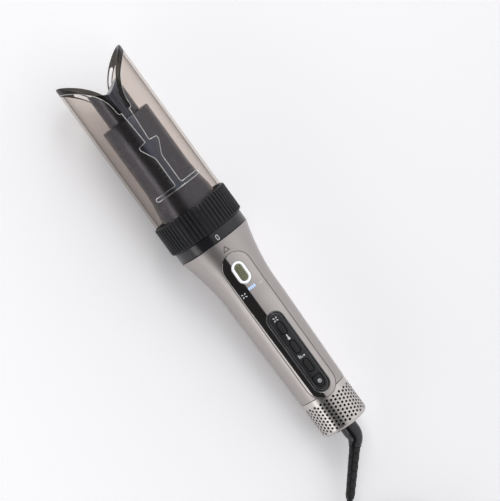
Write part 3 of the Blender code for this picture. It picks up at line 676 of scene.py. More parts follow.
def nodeTree(name, sizes):
    # sizes: input name -> starting value; whole numbers become integer inputs
    tree = bpy.data.node_groups.new(name, "GeometryNodeTree")
    tree.interface.new_socket("Geometry", in_out="INPUT", socket_type="NodeSocketGeometry")
    for label, value in sizes.items():
        kind = "NodeSocketInt" if isinstance(value, int) else "NodeSocketFloat"
        tree.interface.new_socket(label, in_out="INPUT", socket_type=kind).default_value = value
    tree.interface.new_socket("Finish", in_out="INPUT", socket_type="NodeSocketMaterial")
    tree.interface.new_socket("Geometry", in_out="OUTPUT", socket_type="NodeSocketGeometry")
    return tree, tree.nodes.new("NodeGroupInput").outputs, tree.nodes.new("NodeGroupOutput").inputs


def endTree(tree, given, result, *grown, keepBase=True):
    # makes the grown pieces real, joins them to the base and gives them their material
    joined = tree.nodes.new("GeometryNodeJoinGeometry")
    for part in grown:
        link(tree, addNode(tree, "GeometryNodeRealizeInstances", {"Geometry": part})["Geometry"],
             joined.inputs[0])
    if keepBase:
        link(tree, given["Geometry"], joined.inputs[0])
    done = addNode(tree, "GeometryNodeSetMaterial",
                   {"Geometry": joined.outputs[0], "Material": given["Finish"]})
    link(tree, done["Geometry"], result["Geometry"])
    return tree


def growth(tree, base, sizes, finish):
    # runs a tree on a bmesh and gives back the result as a bmesh
    working = tempObject(base)
    modifier = working.modifiers.new("grow", "NODES")
    modifier.node_group = tree
    for item in tree.interface.items_tree:
        if item.in_out == "INPUT" and item.name in sizes:
            modifier[item.identifier] = sizes[item.name]
        elif item.in_out == "INPUT" and item.name == "Finish":
            modifier[item.identifier] = finish
    return finished(working)


# Handle
shell = {"footRadius": 21.0 * mm, "gripRadius": 22.9 * mm, "shoulderRadius": 31.5 * mm, "low": 33.3 * mm,
         "gripEnd": 119 * mm, "flareStart": 130 * mm, "top": 181.3 * mm, "wall": 1.8 * mm, "edge": 0.5 * mm,
         "steps": 144, "pointerAt": 173.6 * mm}
strip = {"width": 25.4 * mm, "low": 29.5 * mm, "high": 168.6 * mm, "lift": 0.1 * mm, "depth": 1.6 * mm,
         "edge": 0.4 * mm, "gap": 0.3 * mm}
bezel = {"width": 14.8 * mm, "low": 34.2 * mm, "high": 110.9 * mm, "rim": 1.0 * mm, "groove": 0.7 * mm}
keys = {"ion": 59.2 * mm, "heat": 77.6 * mm, "speed": 95.9 * mm, "width": 4.7 * mm, "length": 11.4 * mm,
        "holeWidth": 5.7 * mm, "holeLength": 12.4 * mm}
power = {"at": 44.2 * mm, "half": 3.6 * mm, "top": 4.8 * mm, "bottom": -4.8 * mm, "gap": 0.45 * mm}
curl = {"at": 150.8 * mm, "ringWidth": 10.9 * mm, "ringLength": 19.3 * mm, "holeWidth": 7.0 * mm,
        "holeLength": 15.6 * mm, "width": 6.3 * mm, "length": 14.8 * mm}


def shellRadius(y):
    taper = min(1, max(0, (y - 33 * mm) / (shell["gripEnd"] - 33 * mm)))
    flare = max(0, (y - shell["flareStart"]) / (shell["top"] - shell["flareStart"]))
    return (shell["footRadius"] + taper * (shell["gripRadius"] - shell["footRadius"])
            + flare**1.8 * (shell["shoulderRadius"] - shell["gripRadius"]))


def frontHeight(x, y, lift):
    return math.sqrt(max(0, (shellRadius(y) + lift) ** 2 - x**2))


def shellNormal(place):
    step = 0.5 * mm
    slope = (shellRadius(place.y + step) - shellRadius(place.y - step)) / (2 * step)
    flat = Vector((place.x, 0, place.z)).normalized()
    return Vector((flat.x, -slope, flat.z)).normalized()


def barStroke(a, b, width):
    # a thin straight bar with round ends between two points
    a, b = Vector(a), Vector(b)
    turn = math.atan2(b.y - a.y, b.x - a.x) - math.pi / 2
    bar = stadium(width, (b - a).length + width, 0, steps=4)
    middle = (a + b) / 2
    spin = Matrix.Rotation(turn, 2)
    return [tuple(spin @ Vector(p) + middle) for p in bar]


def stripOutline(grow=0.0):
    length = strip["high"] - strip["low"]
    return stadium(strip["width"] + 2 * grow, length + 2 * grow, strip["low"] + length / 2, steps=28)


def makeShell():
    y, edge, wall = shell["low"], shell["edge"], shell["wall"]
    profile = edgeRound(y, shellRadius(y), edge, -1)[::-1]
    rows = [38 * mm, 60 * mm, 90 * mm, shell["gripEnd"]]
    flare = shell["top"] - edge - shell["flareStart"]
    rows += [shell["flareStart"] + flare * i / 22 for i in range(23)]
    profile += [(row, shellRadius(row)) for row in rows]
    profile += edgeRound(shell["top"], shellRadius(shell["top"]), edge, 1)[1:]
    profile += [(row, shellRadius(row) - wall) for row in reversed([y, *rows, shell["top"]])]
    bm = lathe(bmesh.new(), profile, shell["steps"])
    opening = panel(bmesh.new(), stripOutline(strip["gap"]), lift=2 * mm, depth=4 * mm, edge=0.01 * mm,
                    grid=3 * mm)
    at = shell["pointerAt"]
    corners = [(-2.6 * mm, at - 1.9 * mm), (2.6 * mm, at - 1.9 * mm), (0.2 * mm, at + 2.3 * mm)]
    pointer = [panel(bmesh.new(), barStroke(a, b, 0.42 * mm), lift=1 * mm, depth=0.28 * mm, edge=0.01 * mm,
                     grid=1 * mm)
               for a, b in zip(corners, corners[1:] + corners[:1])]
    bm = carve(bm, [opening, *pointer])
    piece = addPiece("handleShell", bm, satinSilver, "handle", ["handle_shell"])
    followSurface(piece, shellNormal, 0.9)
    bm = bmesh.new()
    for a, b in zip(corners, corners[1:] + corners[:1]):
        panel(bm, barStroke(a, b, 0.5 * mm), lift=0.015 * mm, depth=0.2 * mm, edge=0.005 * mm, grid=1 * mm)
    addPiece("pointerPaint", bm, slotBlack, "handle")


def makeStrip():
    bezelLength = bezel["high"] - bezel["low"]
    bezelHole = stadium(bezel["width"] + 0.3 * mm, bezelLength + 0.3 * mm, bezel["low"] + bezelLength / 2)
    ringHole = stadium(curl["ringWidth"] + 0.3 * mm, curl["ringLength"] + 0.3 * mm, curl["at"])
    bm = panel(bmesh.new(), stripOutline(), [bezelHole, ringHole], lift=strip["lift"], depth=strip["depth"],
               edge=strip["edge"], grid=1.5 * mm)
    piece = addPiece("controlStrip", bm, darkChrome, "handle", ["control_strip"])
    followSurface(piece, shellNormal)


def makeBezel():
    middle = (bezel["low"] + bezel["high"]) / 2
    length = bezel["high"] - bezel["low"]
    inner = bezel["width"] - 2 * bezel["rim"]
    padWidth = inner - 2 * bezel["groove"]
    grow = padWidth - bezel["width"]
    keyHoles = [stadium(keys["holeWidth"], keys["holeLength"], keys[k]) for k in ("ion", "heat", "speed")]
    keyHoles.append(powerOutline(power["gap"]))
    bm = bmesh.new()
    panel(bm, stadium(bezel["width"], length, middle), [stadium(inner, length - 2 * bezel["rim"], middle)],
          lift=0.5 * mm, depth=0.6 * mm, edge=0.45 * mm, grid=2 * mm)
    panel(bm, stadium(inner + 0.6 * mm, length - 2 * bezel["rim"] + 0.6 * mm, middle), keyHoles,
          lift=-0.5 * mm,
          depth=1.6 * mm, edge=0.05 * mm, grid=2 * mm, materialIndex=1)
    panel(bm, stadium(padWidth, length + grow, middle), keyHoles, lift=0.35 * mm, depth=0.9 * mm,
          edge=0.35 * mm,
          grid=1.6 * mm, materialIndex=1)
    piece = addPiece("keypadBezel", bm, [matteBlack, panelBlack], "handle", ["keypad_bezel"])
    followSurface(piece, shellNormal)
    # thin grey metal beads around the bezel's rim and the pad's outline: painted highlight lines
    bm = bmesh.new()
    for inset, lift in ((0.3 * mm, 0.36 * mm), ((bezel["width"] - padWidth) / 2 + 0.15 * mm, 0.22 * mm)):
        beadRound(bm, stadium(bezel["width"] - 2 * inset, length - 2 * inset, middle), 0.16 * mm,
                  lambda x, y: frontHeight(x, y, lift))
    addPiece("keypadRim", bm, bezelPaintedHighlight, "handle", sharp=60)


def powerOutline(grow=0.0):
    half, top, bottom, at = power["half"] + grow, power["top"] + grow, power["bottom"] - grow, power["at"]
    corners = [(half, at + top, 1.3 * mm), (-half, at + top, 1.3 * mm), (-half, at - 1.2 * mm, 1.5 * mm),
               (-half * 0.55, at + bottom, 1.8 * mm), (half * 0.55, at + bottom, 1.8 * mm),
               (half, at - 1.2 * mm, 1.5 * mm)]
    return fillet(corners, steps=6)


def makeKeys():
    for name in ("ion", "heat", "speed"):
        bm = panel(bmesh.new(), stadium(keys["width"], keys["length"], keys[name]), lift=0.75 * mm,
                   depth=2.4 * mm,
                   edge=0.7 * mm, grid=1.2 * mm)
        piece = addPiece(name + "Key", bm, rubberBlack, name + "_key", [name + "_button"])
        followSurface(piece, shellNormal)
    bm = panel(bmesh.new(), powerOutline(), lift=0.45 * mm, depth=2.4 * mm, edge=0.5 * mm, grid=1.2 * mm)
    facet = [(2.3, 2.9, 0.3), (-2.3, 2.9, 0.3), (-2.5, -0.9, 0.4), (-1.2, -3.3, 0.5), (1.2, -3.3, 0.5),
             (2.5, -0.9, 0.4)]
    facet = fillet([(x * mm, power["at"] + y * mm, r * mm) for x, y, r in facet], steps=3)
    panel(bm, facet, lift=0.8 * mm, depth=0.5 * mm, edge=0.4 * mm, grid=1.2 * mm)
    piece = addPiece("powerKey", bm, rubberBlack, "power_key", ["power_button"])
    followSurface(piece, shellNormal)


def ringStroke(radius, width, x, y, steps=20):
    outer = stadium((radius + width / 2) * 2, (radius + width / 2) * 2, y, x, steps=steps)
    return outer[:-1], stadium((radius - width / 2) * 2, (radius - width / 2) * 2, y, x, steps=steps)[:-1]


def petal(x, y, turn, length, width):
    # one blade of the small fan symbol
    base = [(0, 0), (width * 0.5, length * 0.45), (width * 0.35, length * 0.85), (0, length),
            (-width * 0.35, length * 0.8),
            (-width * 0.2, length * 0.4)]
    spin = Matrix.Rotation(turn, 2)
    return [tuple(spin @ Vector(p) + Vector((x, y))) for p in base]


def makeSymbols():
    # small generic marks above the keys, printed on the pad and the strip, with a faint painted glow
    printed = {"lift": 0.42 * mm, "depth": -0.3 * mm, "edge": 0.02 * mm, "grid": 1.0 * mm}
    bm = bmesh.new()
    fanAt = 104.4 * mm
    for k in range(4):
        turn = math.pi / 4 + math.pi / 2 * k
        start = (-math.sin(turn) * 0.55 * mm, fanAt + math.cos(turn) * 0.55 * mm)
        panel(bm, petal(*start, turn, 1.9 * mm, 1.3 * mm), **printed)
    heatAt = 87.0 * mm
    panel(bm, stadium(2.1 * mm, 2.1 * mm + 0.01 * mm, heatAt - 1.2 * mm, steps=10), **printed)
    panel(bm, barStroke((0, heatAt), (0, heatAt + 2.2 * mm), 1.0 * mm), **printed)
    speedAt = 68.6 * mm
    for x, low, high in ((-2.3, -1.3, 1.5), (-1.1, -1.3, 0.6), (0.1, -1.3, -0.3)):
        panel(bm, barStroke((x * mm, speedAt + low * mm), (x * mm, speedAt + high * mm), 0.6 * mm), **printed)
    panel(bm, stadium(1.5 * mm, 1.51 * mm, speedAt - 0.7 * mm, 2.0 * mm, steps=8), **printed)
    flush = {"lift": 0.14 * mm, "depth": 0.0, "edge": 0.02 * mm, "grid": 1.0 * mm}
    sideAt = 134.0 * mm
    for k in range(4):
        turn = math.pi / 4 + math.pi / 2 * k
        start = (-8.9 * mm - math.sin(turn) * 0.6 * mm, sideAt + math.cos(turn) * 0.6 * mm)
        panel(bm, petal(*start, turn, 1.9 * mm, 1.3 * mm), **flush)
    panel(bm, barStroke((6.9 * mm, sideAt + 0.9 * mm), (9.3 * mm, sideAt + 1.3 * mm), 0.5 * mm), **flush)
    addPiece("panelSymbols", bm, symbolPaintedGlow, "handle")
    # the power key's printed symbol, with the same painted glow
    bm = bmesh.new()
    ring, hole = ringStroke(1.25 * mm, 0.55 * mm, 0, power["at"] - 0.2 * mm)
    raised = {"lift": 0.84 * mm, "depth": -0.7 * mm, "edge": 0.02 * mm, "grid": 1.0 * mm}
    panel(bm, ring, [hole], **raised)
    panel(bm, barStroke((0, power["at"] - 0.3 * mm), (0, power["at"] + 0.5 * mm), 0.5 * mm), **raised)
    addPiece("powerSymbol", bm, symbolPaintedGlow, "power_key")


def makeLamp():
    bm = panel(bmesh.new(), stadium(curl["ringWidth"], curl["ringLength"], curl["at"]),
               [stadium(curl["holeWidth"], curl["holeLength"], curl["at"])], lift=0.5 * mm, depth=2.4 * mm,
               edge=0.6 * mm, grid=1.2 * mm)
    addPiece("lightRing", bm, lampWhite, "handle", ["light_ring"])
    bm = bmesh.new()
    for k in range(4):
        panel(bm, stadium(1.25 * mm, 2.7 * mm, 136.4 * mm, (k - 1.5) * 1.75 * mm, steps=5), lift=0.16 * mm,
              depth=0.4 * mm, edge=0.04 * mm, grid=0.8 * mm)
    addPiece("levelLights", bm, ledBlue, "handle", ["led_bar"])


def dotTree():
    tree, given, result = nodeTree("curlDots", {"Columns": 3, "Rows": 7, "Pitch": 1.75 * mm,
                                                "Middle": curl["at"],
                                                "Surface": 24.5 * mm, "Dot Radius": 0.55 * mm})
    index = addNode(tree, "GeometryNodeInputIndex")["Index"]
    row = calc(tree, "FLOOR", calc(tree, "DIVIDE", index, given["Columns"]))
    column = calc(tree, "SUBTRACT", index, calc(tree, "MULTIPLY", row, given["Columns"]))

    def fromMiddle(value, count):
        return calc(tree, "SUBTRACT", value, calc(tree, "MULTIPLY", calc(tree, "SUBTRACT", count, 1), 0.5))

    x = calc(tree, "MULTIPLY", fromMiddle(column, given["Columns"]), given["Pitch"])
    y = calc(tree, "ADD", given["Middle"], calc(tree, "MULTIPLY", fromMiddle(row, given["Rows"]),
                                                given["Pitch"]))
    count = calc(tree, "MULTIPLY", given["Columns"], given["Rows"])
    slope = calc(tree, "MULTIPLY", calc(tree, "SUBTRACT", y, given["Middle"]), 0.15)
    z = calc(tree, "ADD", calc(tree, "SQRT", calc(tree, "SUBTRACT", calc(tree, "POWER", given["Surface"], 2),
                                                  calc(tree, "POWER", x, 2))), slope)
    points = addNode(tree, "GeometryNodePoints", {"Count": count, "Position": vector(tree, x, y, z)})[0]
    ball = addNode(tree, "GeometryNodeMeshIcoSphere", {"Radius": given["Dot Radius"],
                                                       "Subdivisions": 2})["Mesh"]
    dots = addNode(tree, "GeometryNodeInstanceOnPoints", {"Points": points, "Instance": ball})["Instances"]
    return endTree(tree, given, result, dots, keepBase=False)


def makeCurlButton():
    bm = panel(bmesh.new(), stadium(curl["width"], curl["length"], curl["at"]), lift=0.35 * mm,
               depth=3.0 * mm,
               edge=0.5 * mm, grid=1.2 * mm)
    addPiece("curlButton", bm, oliveDark, "curl_key", ["curl_button"])
    bm = growth(dotTree(), bmesh.new(), {"Surface": frontHeight(0, curl["at"], 0.12 * mm)}, slotBlack)
    addPiece("curlDots", bm, slotBlack, "curl_key")


makeShell()
makeStrip()
makeBezel()
makeKeys()
makeSymbols()
makeLamp()
makeCurlButton()
print("handle made")


# Filter sleeve
sleeve = {"radius": 20.8 * mm, "top": 33.0 * mm, "bottomRound": 3.6 * mm, "wall": 1.4 * mm, "steps": 160,
          "columns": 40, "rows": 8, "firstRow": 4.4 * mm, "rowPitch": 3.27 * mm, "holeRadius": 1.07 * mm,
          "cornerRound": 3.0 * mm}


def notchOutline():
    # the strip's round end with a gap, and corners that flow into the sleeve's edge
    radius = strip["width"] / 2 + strip["gap"]
    centreY = strip["low"] + strip["width"] / 2
    r, top = sleeve["cornerRound"], sleeve["top"]
    cornerY = top - r
    cornerX = math.sqrt((radius + r) ** 2 - (centreY - cornerY) ** 2)
    low = math.atan2(cornerY - centreY, cornerX)
    points = []
    for k in range(31):
        turn = -math.pi - low + (math.pi + 2 * low) * k / 30
        points.append((radius * math.cos(turn), centreY + radius * math.sin(turn)))
    right = []
    for k in range(7):
        turn = math.pi + low - (math.pi / 2 + low) * k / 6
        right.append((cornerX + r * math.cos(turn), cornerY + r * math.sin(turn)))
    points += right[1:] + [(cornerX, top + 4 * mm)]
    return points + [(-x, y) for x, y in reversed(points[31:])]


def holeTree():
    tree, given, result = nodeTree("sleeveHoles", {"Columns": 40, "Rows": 8, "Radius": 20 * mm,
                                                   "First Row": 4.4 * mm,
                                                   "Row Pitch": 3.27 * mm, "Hole Radius": 1.07 * mm})
    index = addNode(tree, "GeometryNodeInputIndex")["Index"]
    row = calc(tree, "FLOOR", calc(tree, "DIVIDE", index, given["Columns"]))
    column = calc(tree, "SUBTRACT", index, calc(tree, "MULTIPLY", row, given["Columns"]))
    odd = calc(tree, "MODULO", column, 2)
    turn = calc(tree, "DIVIDE", calc(tree, "MULTIPLY", calc(tree, "ADD", column, 0.5), math.tau),
                given["Columns"])
    x = calc(tree, "MULTIPLY", given["Radius"], calc(tree, "SINE", turn))
    z = calc(tree, "MULTIPLY", given["Radius"], calc(tree, "COSINE", turn))
    steps = calc(tree, "ADD", row, calc(tree, "MULTIPLY", odd, 0.5))
    y = calc(tree, "ADD", given["First Row"], calc(tree, "MULTIPLY", steps, given["Row Pitch"]))
    count = calc(tree, "MULTIPLY", given["Columns"], given["Rows"])
    points = addNode(tree, "GeometryNodePoints", {"Count": count, "Position": vector(tree, x, y, z)})[0]
    lastRow = calc(tree, "GREATER_THAN", calc(tree, "ADD", row, 1.5), given["Rows"])
    dropped = calc(tree, "MULTIPLY", lastRow, odd)  # the odd columns have one hole fewer
    kept = addNode(tree, "GeometryNodeDeleteGeometry", {"Geometry": points, "Selection": dropped},
                   domain="POINT")["Geometry"]
    drill = addNode(tree, "GeometryNodeMeshCylinder", {"Vertices": 18, "Radius": given["Hole Radius"],
                                                       "Depth": 8 * mm})["Mesh"]
    drills = addNode(tree, "GeometryNodeInstanceOnPoints", {"Points": kept, "Instance": drill,
                                                            "Rotation": vector(tree, 0.0, turn,
                                                                               0.0)})["Instances"]
    real = addNode(tree, "GeometryNodeRealizeInstances", {"Geometry": drills})["Geometry"]
    cut = addNode(tree, "GeometryNodeMeshBoolean", operation="DIFFERENCE", solver="MANIFOLD")
    node = tree.nodes[-1]
    link(tree, given["Geometry"], node.inputs["Mesh 1"])
    link(tree, real, node.inputs["Mesh 2"])
    done = addNode(tree, "GeometryNodeSetMaterial", {"Geometry": cut["Mesh"], "Material": given["Finish"]})
    link(tree, done["Geometry"], result["Geometry"])
    return tree


def makeSleeve():
    wall, r, bend = sleeve["wall"], sleeve["radius"], sleeve["bottomRound"]
    profile = [(sleeve["top"], r - 0.35 * mm), (sleeve["top"] - 0.1 * mm, r - 0.1 * mm),
               (sleeve["top"] - 0.35 * mm, r)]
    profile += [(sleeve["top"] - (sleeve["top"] - bend) * k / 8, r) for k in range(1, 8)]
    for k in range(9):
        turn = math.pi / 2 * k / 8
        profile.append((bend * (1 - math.sin(turn)), r - bend * (1 - math.cos(turn))))
    profile += [(0, 16.2 * mm), (0.2 * mm, 16 * mm), (1.4 * mm, 16 * mm), (3.0 * mm, r - wall - 1.5 * mm),
                (5.0 * mm, r - wall), (sleeve["top"], r - wall)]
    bm = lathe(bmesh.new(), profile, sleeve["steps"])
    outline = notchOutline()
    tool = panel(bmesh.new(), outline, lift=2 * mm, depth=6 * mm, edge=0.01 * mm, grid=1.5 * mm,
                 heightAt=lambda x, y, lift: math.sqrt((r + lift) ** 2 - x**2))
    bm = carve(bm, [tool])
    bm = growth(holeTree(), bm, {"Columns": sleeve["columns"], "Rows": sleeve["rows"], "Radius": r - wall,
                                 "First Row": sleeve["firstRow"], "Row Pitch": sleeve["rowPitch"],
                                 "Hole Radius": sleeve["holeRadius"]}, brushedSilver)
    piece = addPiece("filterSleeve", bm, brushedSilver, "filter", ["filter_sleeve"])

    def normalAt(place):
        if place.y > bend:
            return roundNormal(place)
        out = roundNormal(place)
        around = Vector((place.x, place.y, place.z)) - (out * (r - bend) + Vector((0, bend, 0)))
        return around.normalized() if around.length > 0 else out

    followSurface(piece, normalAt, 0.93)


makeSleeve()
print("filter sleeve made")


# Curling head
head = {"collarLow": 190.9 * mm, "collarTop": 216.0 * mm, "collarRadius": 33.5 * mm, "ribs": 58,
        "ribRadius": 1.15 * mm, "bandLow": 181.7 * mm, "bandTop": 190.6 * mm, "bandEdge": 0.5 * mm,
        "bandInner": 29.9 * mm}
tube = {"radius": 31.4 * mm, "wall": 2.0 * mm, "low": 191.2 * mm, "top": 352.6 * mm, "mouthLow": 308 * mm,
        "rimHalf": 3.0 * mm, "wallHalf": 6.3 * mm, "wallRise": 39 * mm, "guideWall": 2.6 * mm,
        "gap": 0.3 * mm,
        "slitLow": 234.1, "slitHigh": 237.3, "bead": 0.34 * mm}
barrel = {"radius": 21.5 * mm, "top": 302.0 * mm, "wall": 1.6 * mm, "steps": 128, "ventAt": 245.2 * mm,
          "ventPitch": 4.0 * mm, "ventX": -3.75 * mm}
core = {"radius": 14.3 * mm, "low": 302.3 * mm, "top": 333.0 * mm, "groove": 8 * mm, "ridges": 6}


def rimHeight(side):
    share = max(0, side - tube["rimHalf"]) / (tube["radius"] - tube["rimHalf"])
    return tube["mouthLow"] + (tube["top"] - tube["mouthLow"]) * share**0.42


def wallHeight(side):
    share = max(0, side - tube["wallHalf"]) / (tube["radius"] - tube["wallHalf"])
    return tube["mouthLow"] + tube["wallRise"] * share**0.40


def quarterAngles(first):
    # close together where the lips are steep
    sides = [tube["rimHalf"] + 0.06 * mm * 1.55**k for k in range(9)]
    sides += [tube["wallHalf"] + 0.03 * mm * 1.6**k for k in range(9)]
    angles = [math.asin(s / tube["radius"]) for s in sorted(sides)]
    start = max(angles)
    count = 30
    angles += [start + (math.pi / 2 - start) * k / count for k in range(1, count + 1)]
    return ([0, math.radians(2), math.radians(4)] if first else []) + angles


def ribTree():
    tree, given, result = nodeTree("collarRibs", {"Ribs": 58, "Radius": 32 * mm, "Low": 191 * mm,
                                                  "High": 216 * mm,
                                                  "Rib Radius": 1.15 * mm, "End Round": 1.3 * mm})
    index = addNode(tree, "GeometryNodeInputIndex")["Index"]
    turn = calc(tree, "DIVIDE", calc(tree, "MULTIPLY", index, math.tau), given["Ribs"])
    turn = calc(tree, "SUBTRACT", math.pi, turn)
    x = calc(tree, "MULTIPLY", given["Radius"], calc(tree, "SINE", turn))
    z = calc(tree, "MULTIPLY", given["Radius"], calc(tree, "COSINE", turn))
    points = addNode(tree, "GeometryNodePoints", {"Count": given["Ribs"],
                                                  "Position": vector(tree, x, 0.0, z)})[0]
    line = addNode(tree, "GeometryNodeCurvePrimitiveLine", {"Start": vector(tree, 0.0, given["Low"], 0.0),
                                                            "End": vector(tree, 0.0, given["High"],
                                                                          0.0)})["Curve"]
    line = addNode(tree, "GeometryNodeResampleCurve", {"Curve": line, "Count": 40})["Curve"]
    factor = addNode(tree, "GeometryNodeSplineParameter")["Length"]
    length = calc(tree, "SUBTRACT", given["High"], given["Low"])
    fromEnd = calc(tree, "MINIMUM", factor, calc(tree, "SUBTRACT", length, factor))
    inward = calc(tree, "MAXIMUM", calc(tree, "SUBTRACT", 1.0,
                                        calc(tree, "DIVIDE", fromEnd, given["End Round"])), 0.0)
    size = calc(tree, "SQRT", calc(tree, "SUBTRACT", 1.02, calc(tree, "POWER", inward, 2)))
    line = addNode(tree, "GeometryNodeSetCurveRadius", {"Curve": line, "Radius": size})["Curve"]
    section = addNode(tree, "GeometryNodeCurvePrimitiveCircle",
                      {"Resolution": 12, "Radius": given["Rib Radius"]})["Curve"]
    rib = addNode(tree, "GeometryNodeCurveToMesh", {"Curve": line, "Profile Curve": section, "Scale": size,
                                                    "Fill Caps": True})["Mesh"]
    ribs = addNode(tree, "GeometryNodeInstanceOnPoints", {"Points": points, "Instance": rib})["Instances"]
    return endTree(tree, given, result, ribs)


def makeCollar():
    low, high, inner = head["collarLow"], head["collarTop"], tube["radius"] + 0.3 * mm
    outer = head["collarRadius"] - 0.95 * mm
    bm = lathe(bmesh.new(), [(low, inner), (low, outer - 0.3 * mm), (low + 0.4 * mm, outer),
                             (high - 0.4 * mm, outer),
                             (high, outer - 0.3 * mm), (high, inner)], 116)
    bm = growth(ribTree(), bm, {"Ribs": head["ribs"], "Radius": head["collarRadius"] - head["ribRadius"],
                           "Low": low + 0.25 * mm, "High": high - 0.25 * mm, "Rib Radius": head["ribRadius"],
                           "End Round": 1.3 * mm}, ribBlack)
    addPiece("gripCollar", bm, ribBlack, "head", ["grip_collar"], sharp=50)


def makeBand():
    low, high, r, edge = head["bandLow"], head["bandTop"], tube["radius"], head["bandEdge"]
    ends = edgeRound(low, r, edge, -1)[::-1] + edgeRound(high, r, edge, 1)
    profile = [(low, head["bandInner"]), *ends, (high, head["bandInner"])]
    addPiece("lockBand", lathe(bmesh.new(), profile, 144), glossBlack, "head", ["lock_band"])
    mark = {"lift": 0.02 * mm, "depth": 0.2 * mm, "edge": 0.01 * mm, "grid": 1 * mm,
            "heightAt": lambda x, y, lift: math.sqrt((r + lift) ** 2 - x**2)}
    # a printed lock mark, whose grey has a painted glow
    bm = panel(bmesh.new(), stadium(2.7 * mm, 4.8 * mm, 185.0 * mm),
               [stadium(1.3 * mm, 3.0 * mm, 185.0 * mm)], **mark)
    addPiece("lockMark", bm, lockMarkPaintedGlow, "head")


# the lock mark is print; its faint emission is a painted glow
lockMarkPaintedGlow = makeGlow("lockMarkPaintedGlow", (0.42, 0.42, 0.43), 0.15)


def slotOutline():
    low, high = tube["slitLow"], tube["slitHigh"]
    right = [(21.0, low, 1.4), (21.0, high, 1.4), (2.8, high, 1.2), (2.8, 260.6, 6), (3.0, 264.0, 6),
             (8.7, 275.2, 1.1),
             (8.4, 277.9, 1.0), (1.9, 278.8, 0), (3.8, 309, 0), (3.8, 318, 0)]
    corners = right + [(-x, y, r) for x, y, r in reversed(right)]
    return fillet([(x * mm, y * mm, r * mm) for x, y, r in corners], steps=5)


cutThrough = {"lift": 2 * mm, "depth": 5 * mm, "edge": 0.01 * mm}  # a cutter for the tube's wall


def onTube(x, y, lift):
    return math.sqrt((tube["radius"] + lift) ** 2 - x**2)


def makeTube():
    outer, inner = tube["radius"], tube["radius"] - tube["wall"]
    quarter = quarterAngles(True)
    half = quarter + [math.pi - a for a in reversed(quarter[:-1])]
    angles = half + [math.tau - a for a in reversed(half[1:-1])]
    bm = bmesh.new()
    columns = []
    for a in angles:
        top = wallHeight(outer * abs(math.sin(a)))
        columns.append([bm.verts.new((r * math.sin(a), y, r * math.cos(a))) for r, y in (
            (outer, tube["low"]), (outer, top), (inner, top), (inner, tube["low"]))])
    for i, b in enumerate(columns):
        a = columns[i - 1]
        for k in range(4):
            bm.faces.new((a[k - 1], a[k], b[k], b[k - 1])).material_index = 1 if k in (2, 3) else 0
    outline = slotOutline()
    tool = panel(bmesh.new(), outline, heightAt=onTube, grid=2 * mm, **cutThrough)
    bm = carve(bm, [tool])
    for face in bm.faces:
        middle = face.calc_center_median()
        face.material_index = 1 if math.hypot(middle.x, middle.z) < outer - tube["wall"] * 0.8 else 0
    piece = addPiece("smokedTube", bm, [smokedClear, innerWall], "head", ["smoked_tube"])

    def normalAt(place):
        out = roundNormal(place)
        return -out if math.hypot(place.x, place.z) < outer - tube["wall"] / 2 else out

    followSurface(piece, normalAt, 0.9)
    makeBeads(outline)


def lipPath(sideWay, backWay, heightAt, first, radius):
    # along a lip's edge, from the slot to the side
    angles = [a for a in quarterAngles(False) if tube["radius"] * math.sin(a) >= first]
    return [(sideWay * radius * math.sin(a), heightAt(tube["radius"] * math.sin(a)),
             backWay * radius * math.cos(a))
            for a in angles]


def makeBeads(outline):
    # rolled edges of the slot and of the tube's mouth; their light grey metal finish is a painted highlight
    # line
    r = tube["radius"] - 0.12 * mm
    slotSide = [p for p in evenly(outline, 1.0 * mm) if p[1] < 308.4 * mm]
    slotSide = [(x, y, math.sqrt(r**2 - x**2)) for x, y in slotSide]
    start = max(range(len(slotSide)), key=lambda i: (slotSide[i][0] < 0) * slotSide[i][1])
    path = slotSide[start:] + slotSide[:start]  # down the left, through the slit, up the right
    bm = bmesh.new()
    if path[0][0] * path[1][0] < 0:
        path = path[1:] + path[:1]
    tubeAlong(bm, path, tube["bead"])
    for sideWay in (-1, 1):
        for backWay in (-1, 1):
            edge = lipPath(sideWay, backWay, wallHeight, tube["wallHalf"] + 0.02 * mm, r)
            corner = [(sideWay * s * mm, y * mm, backWay * math.sqrt(r**2 - (s * mm) ** 2))
                      for s, y in ((3.7, 308.0), (4.6, 307.7), (5.6, 308.1), (6.1, 309.2))]
            tubeAlong(bm, corner + [p for p in edge if p[1] > 310 * mm], tube["bead"] * 0.75)
    addPiece("slotEdges", bm, edgePaintedHighlight, "head", sharp=60)


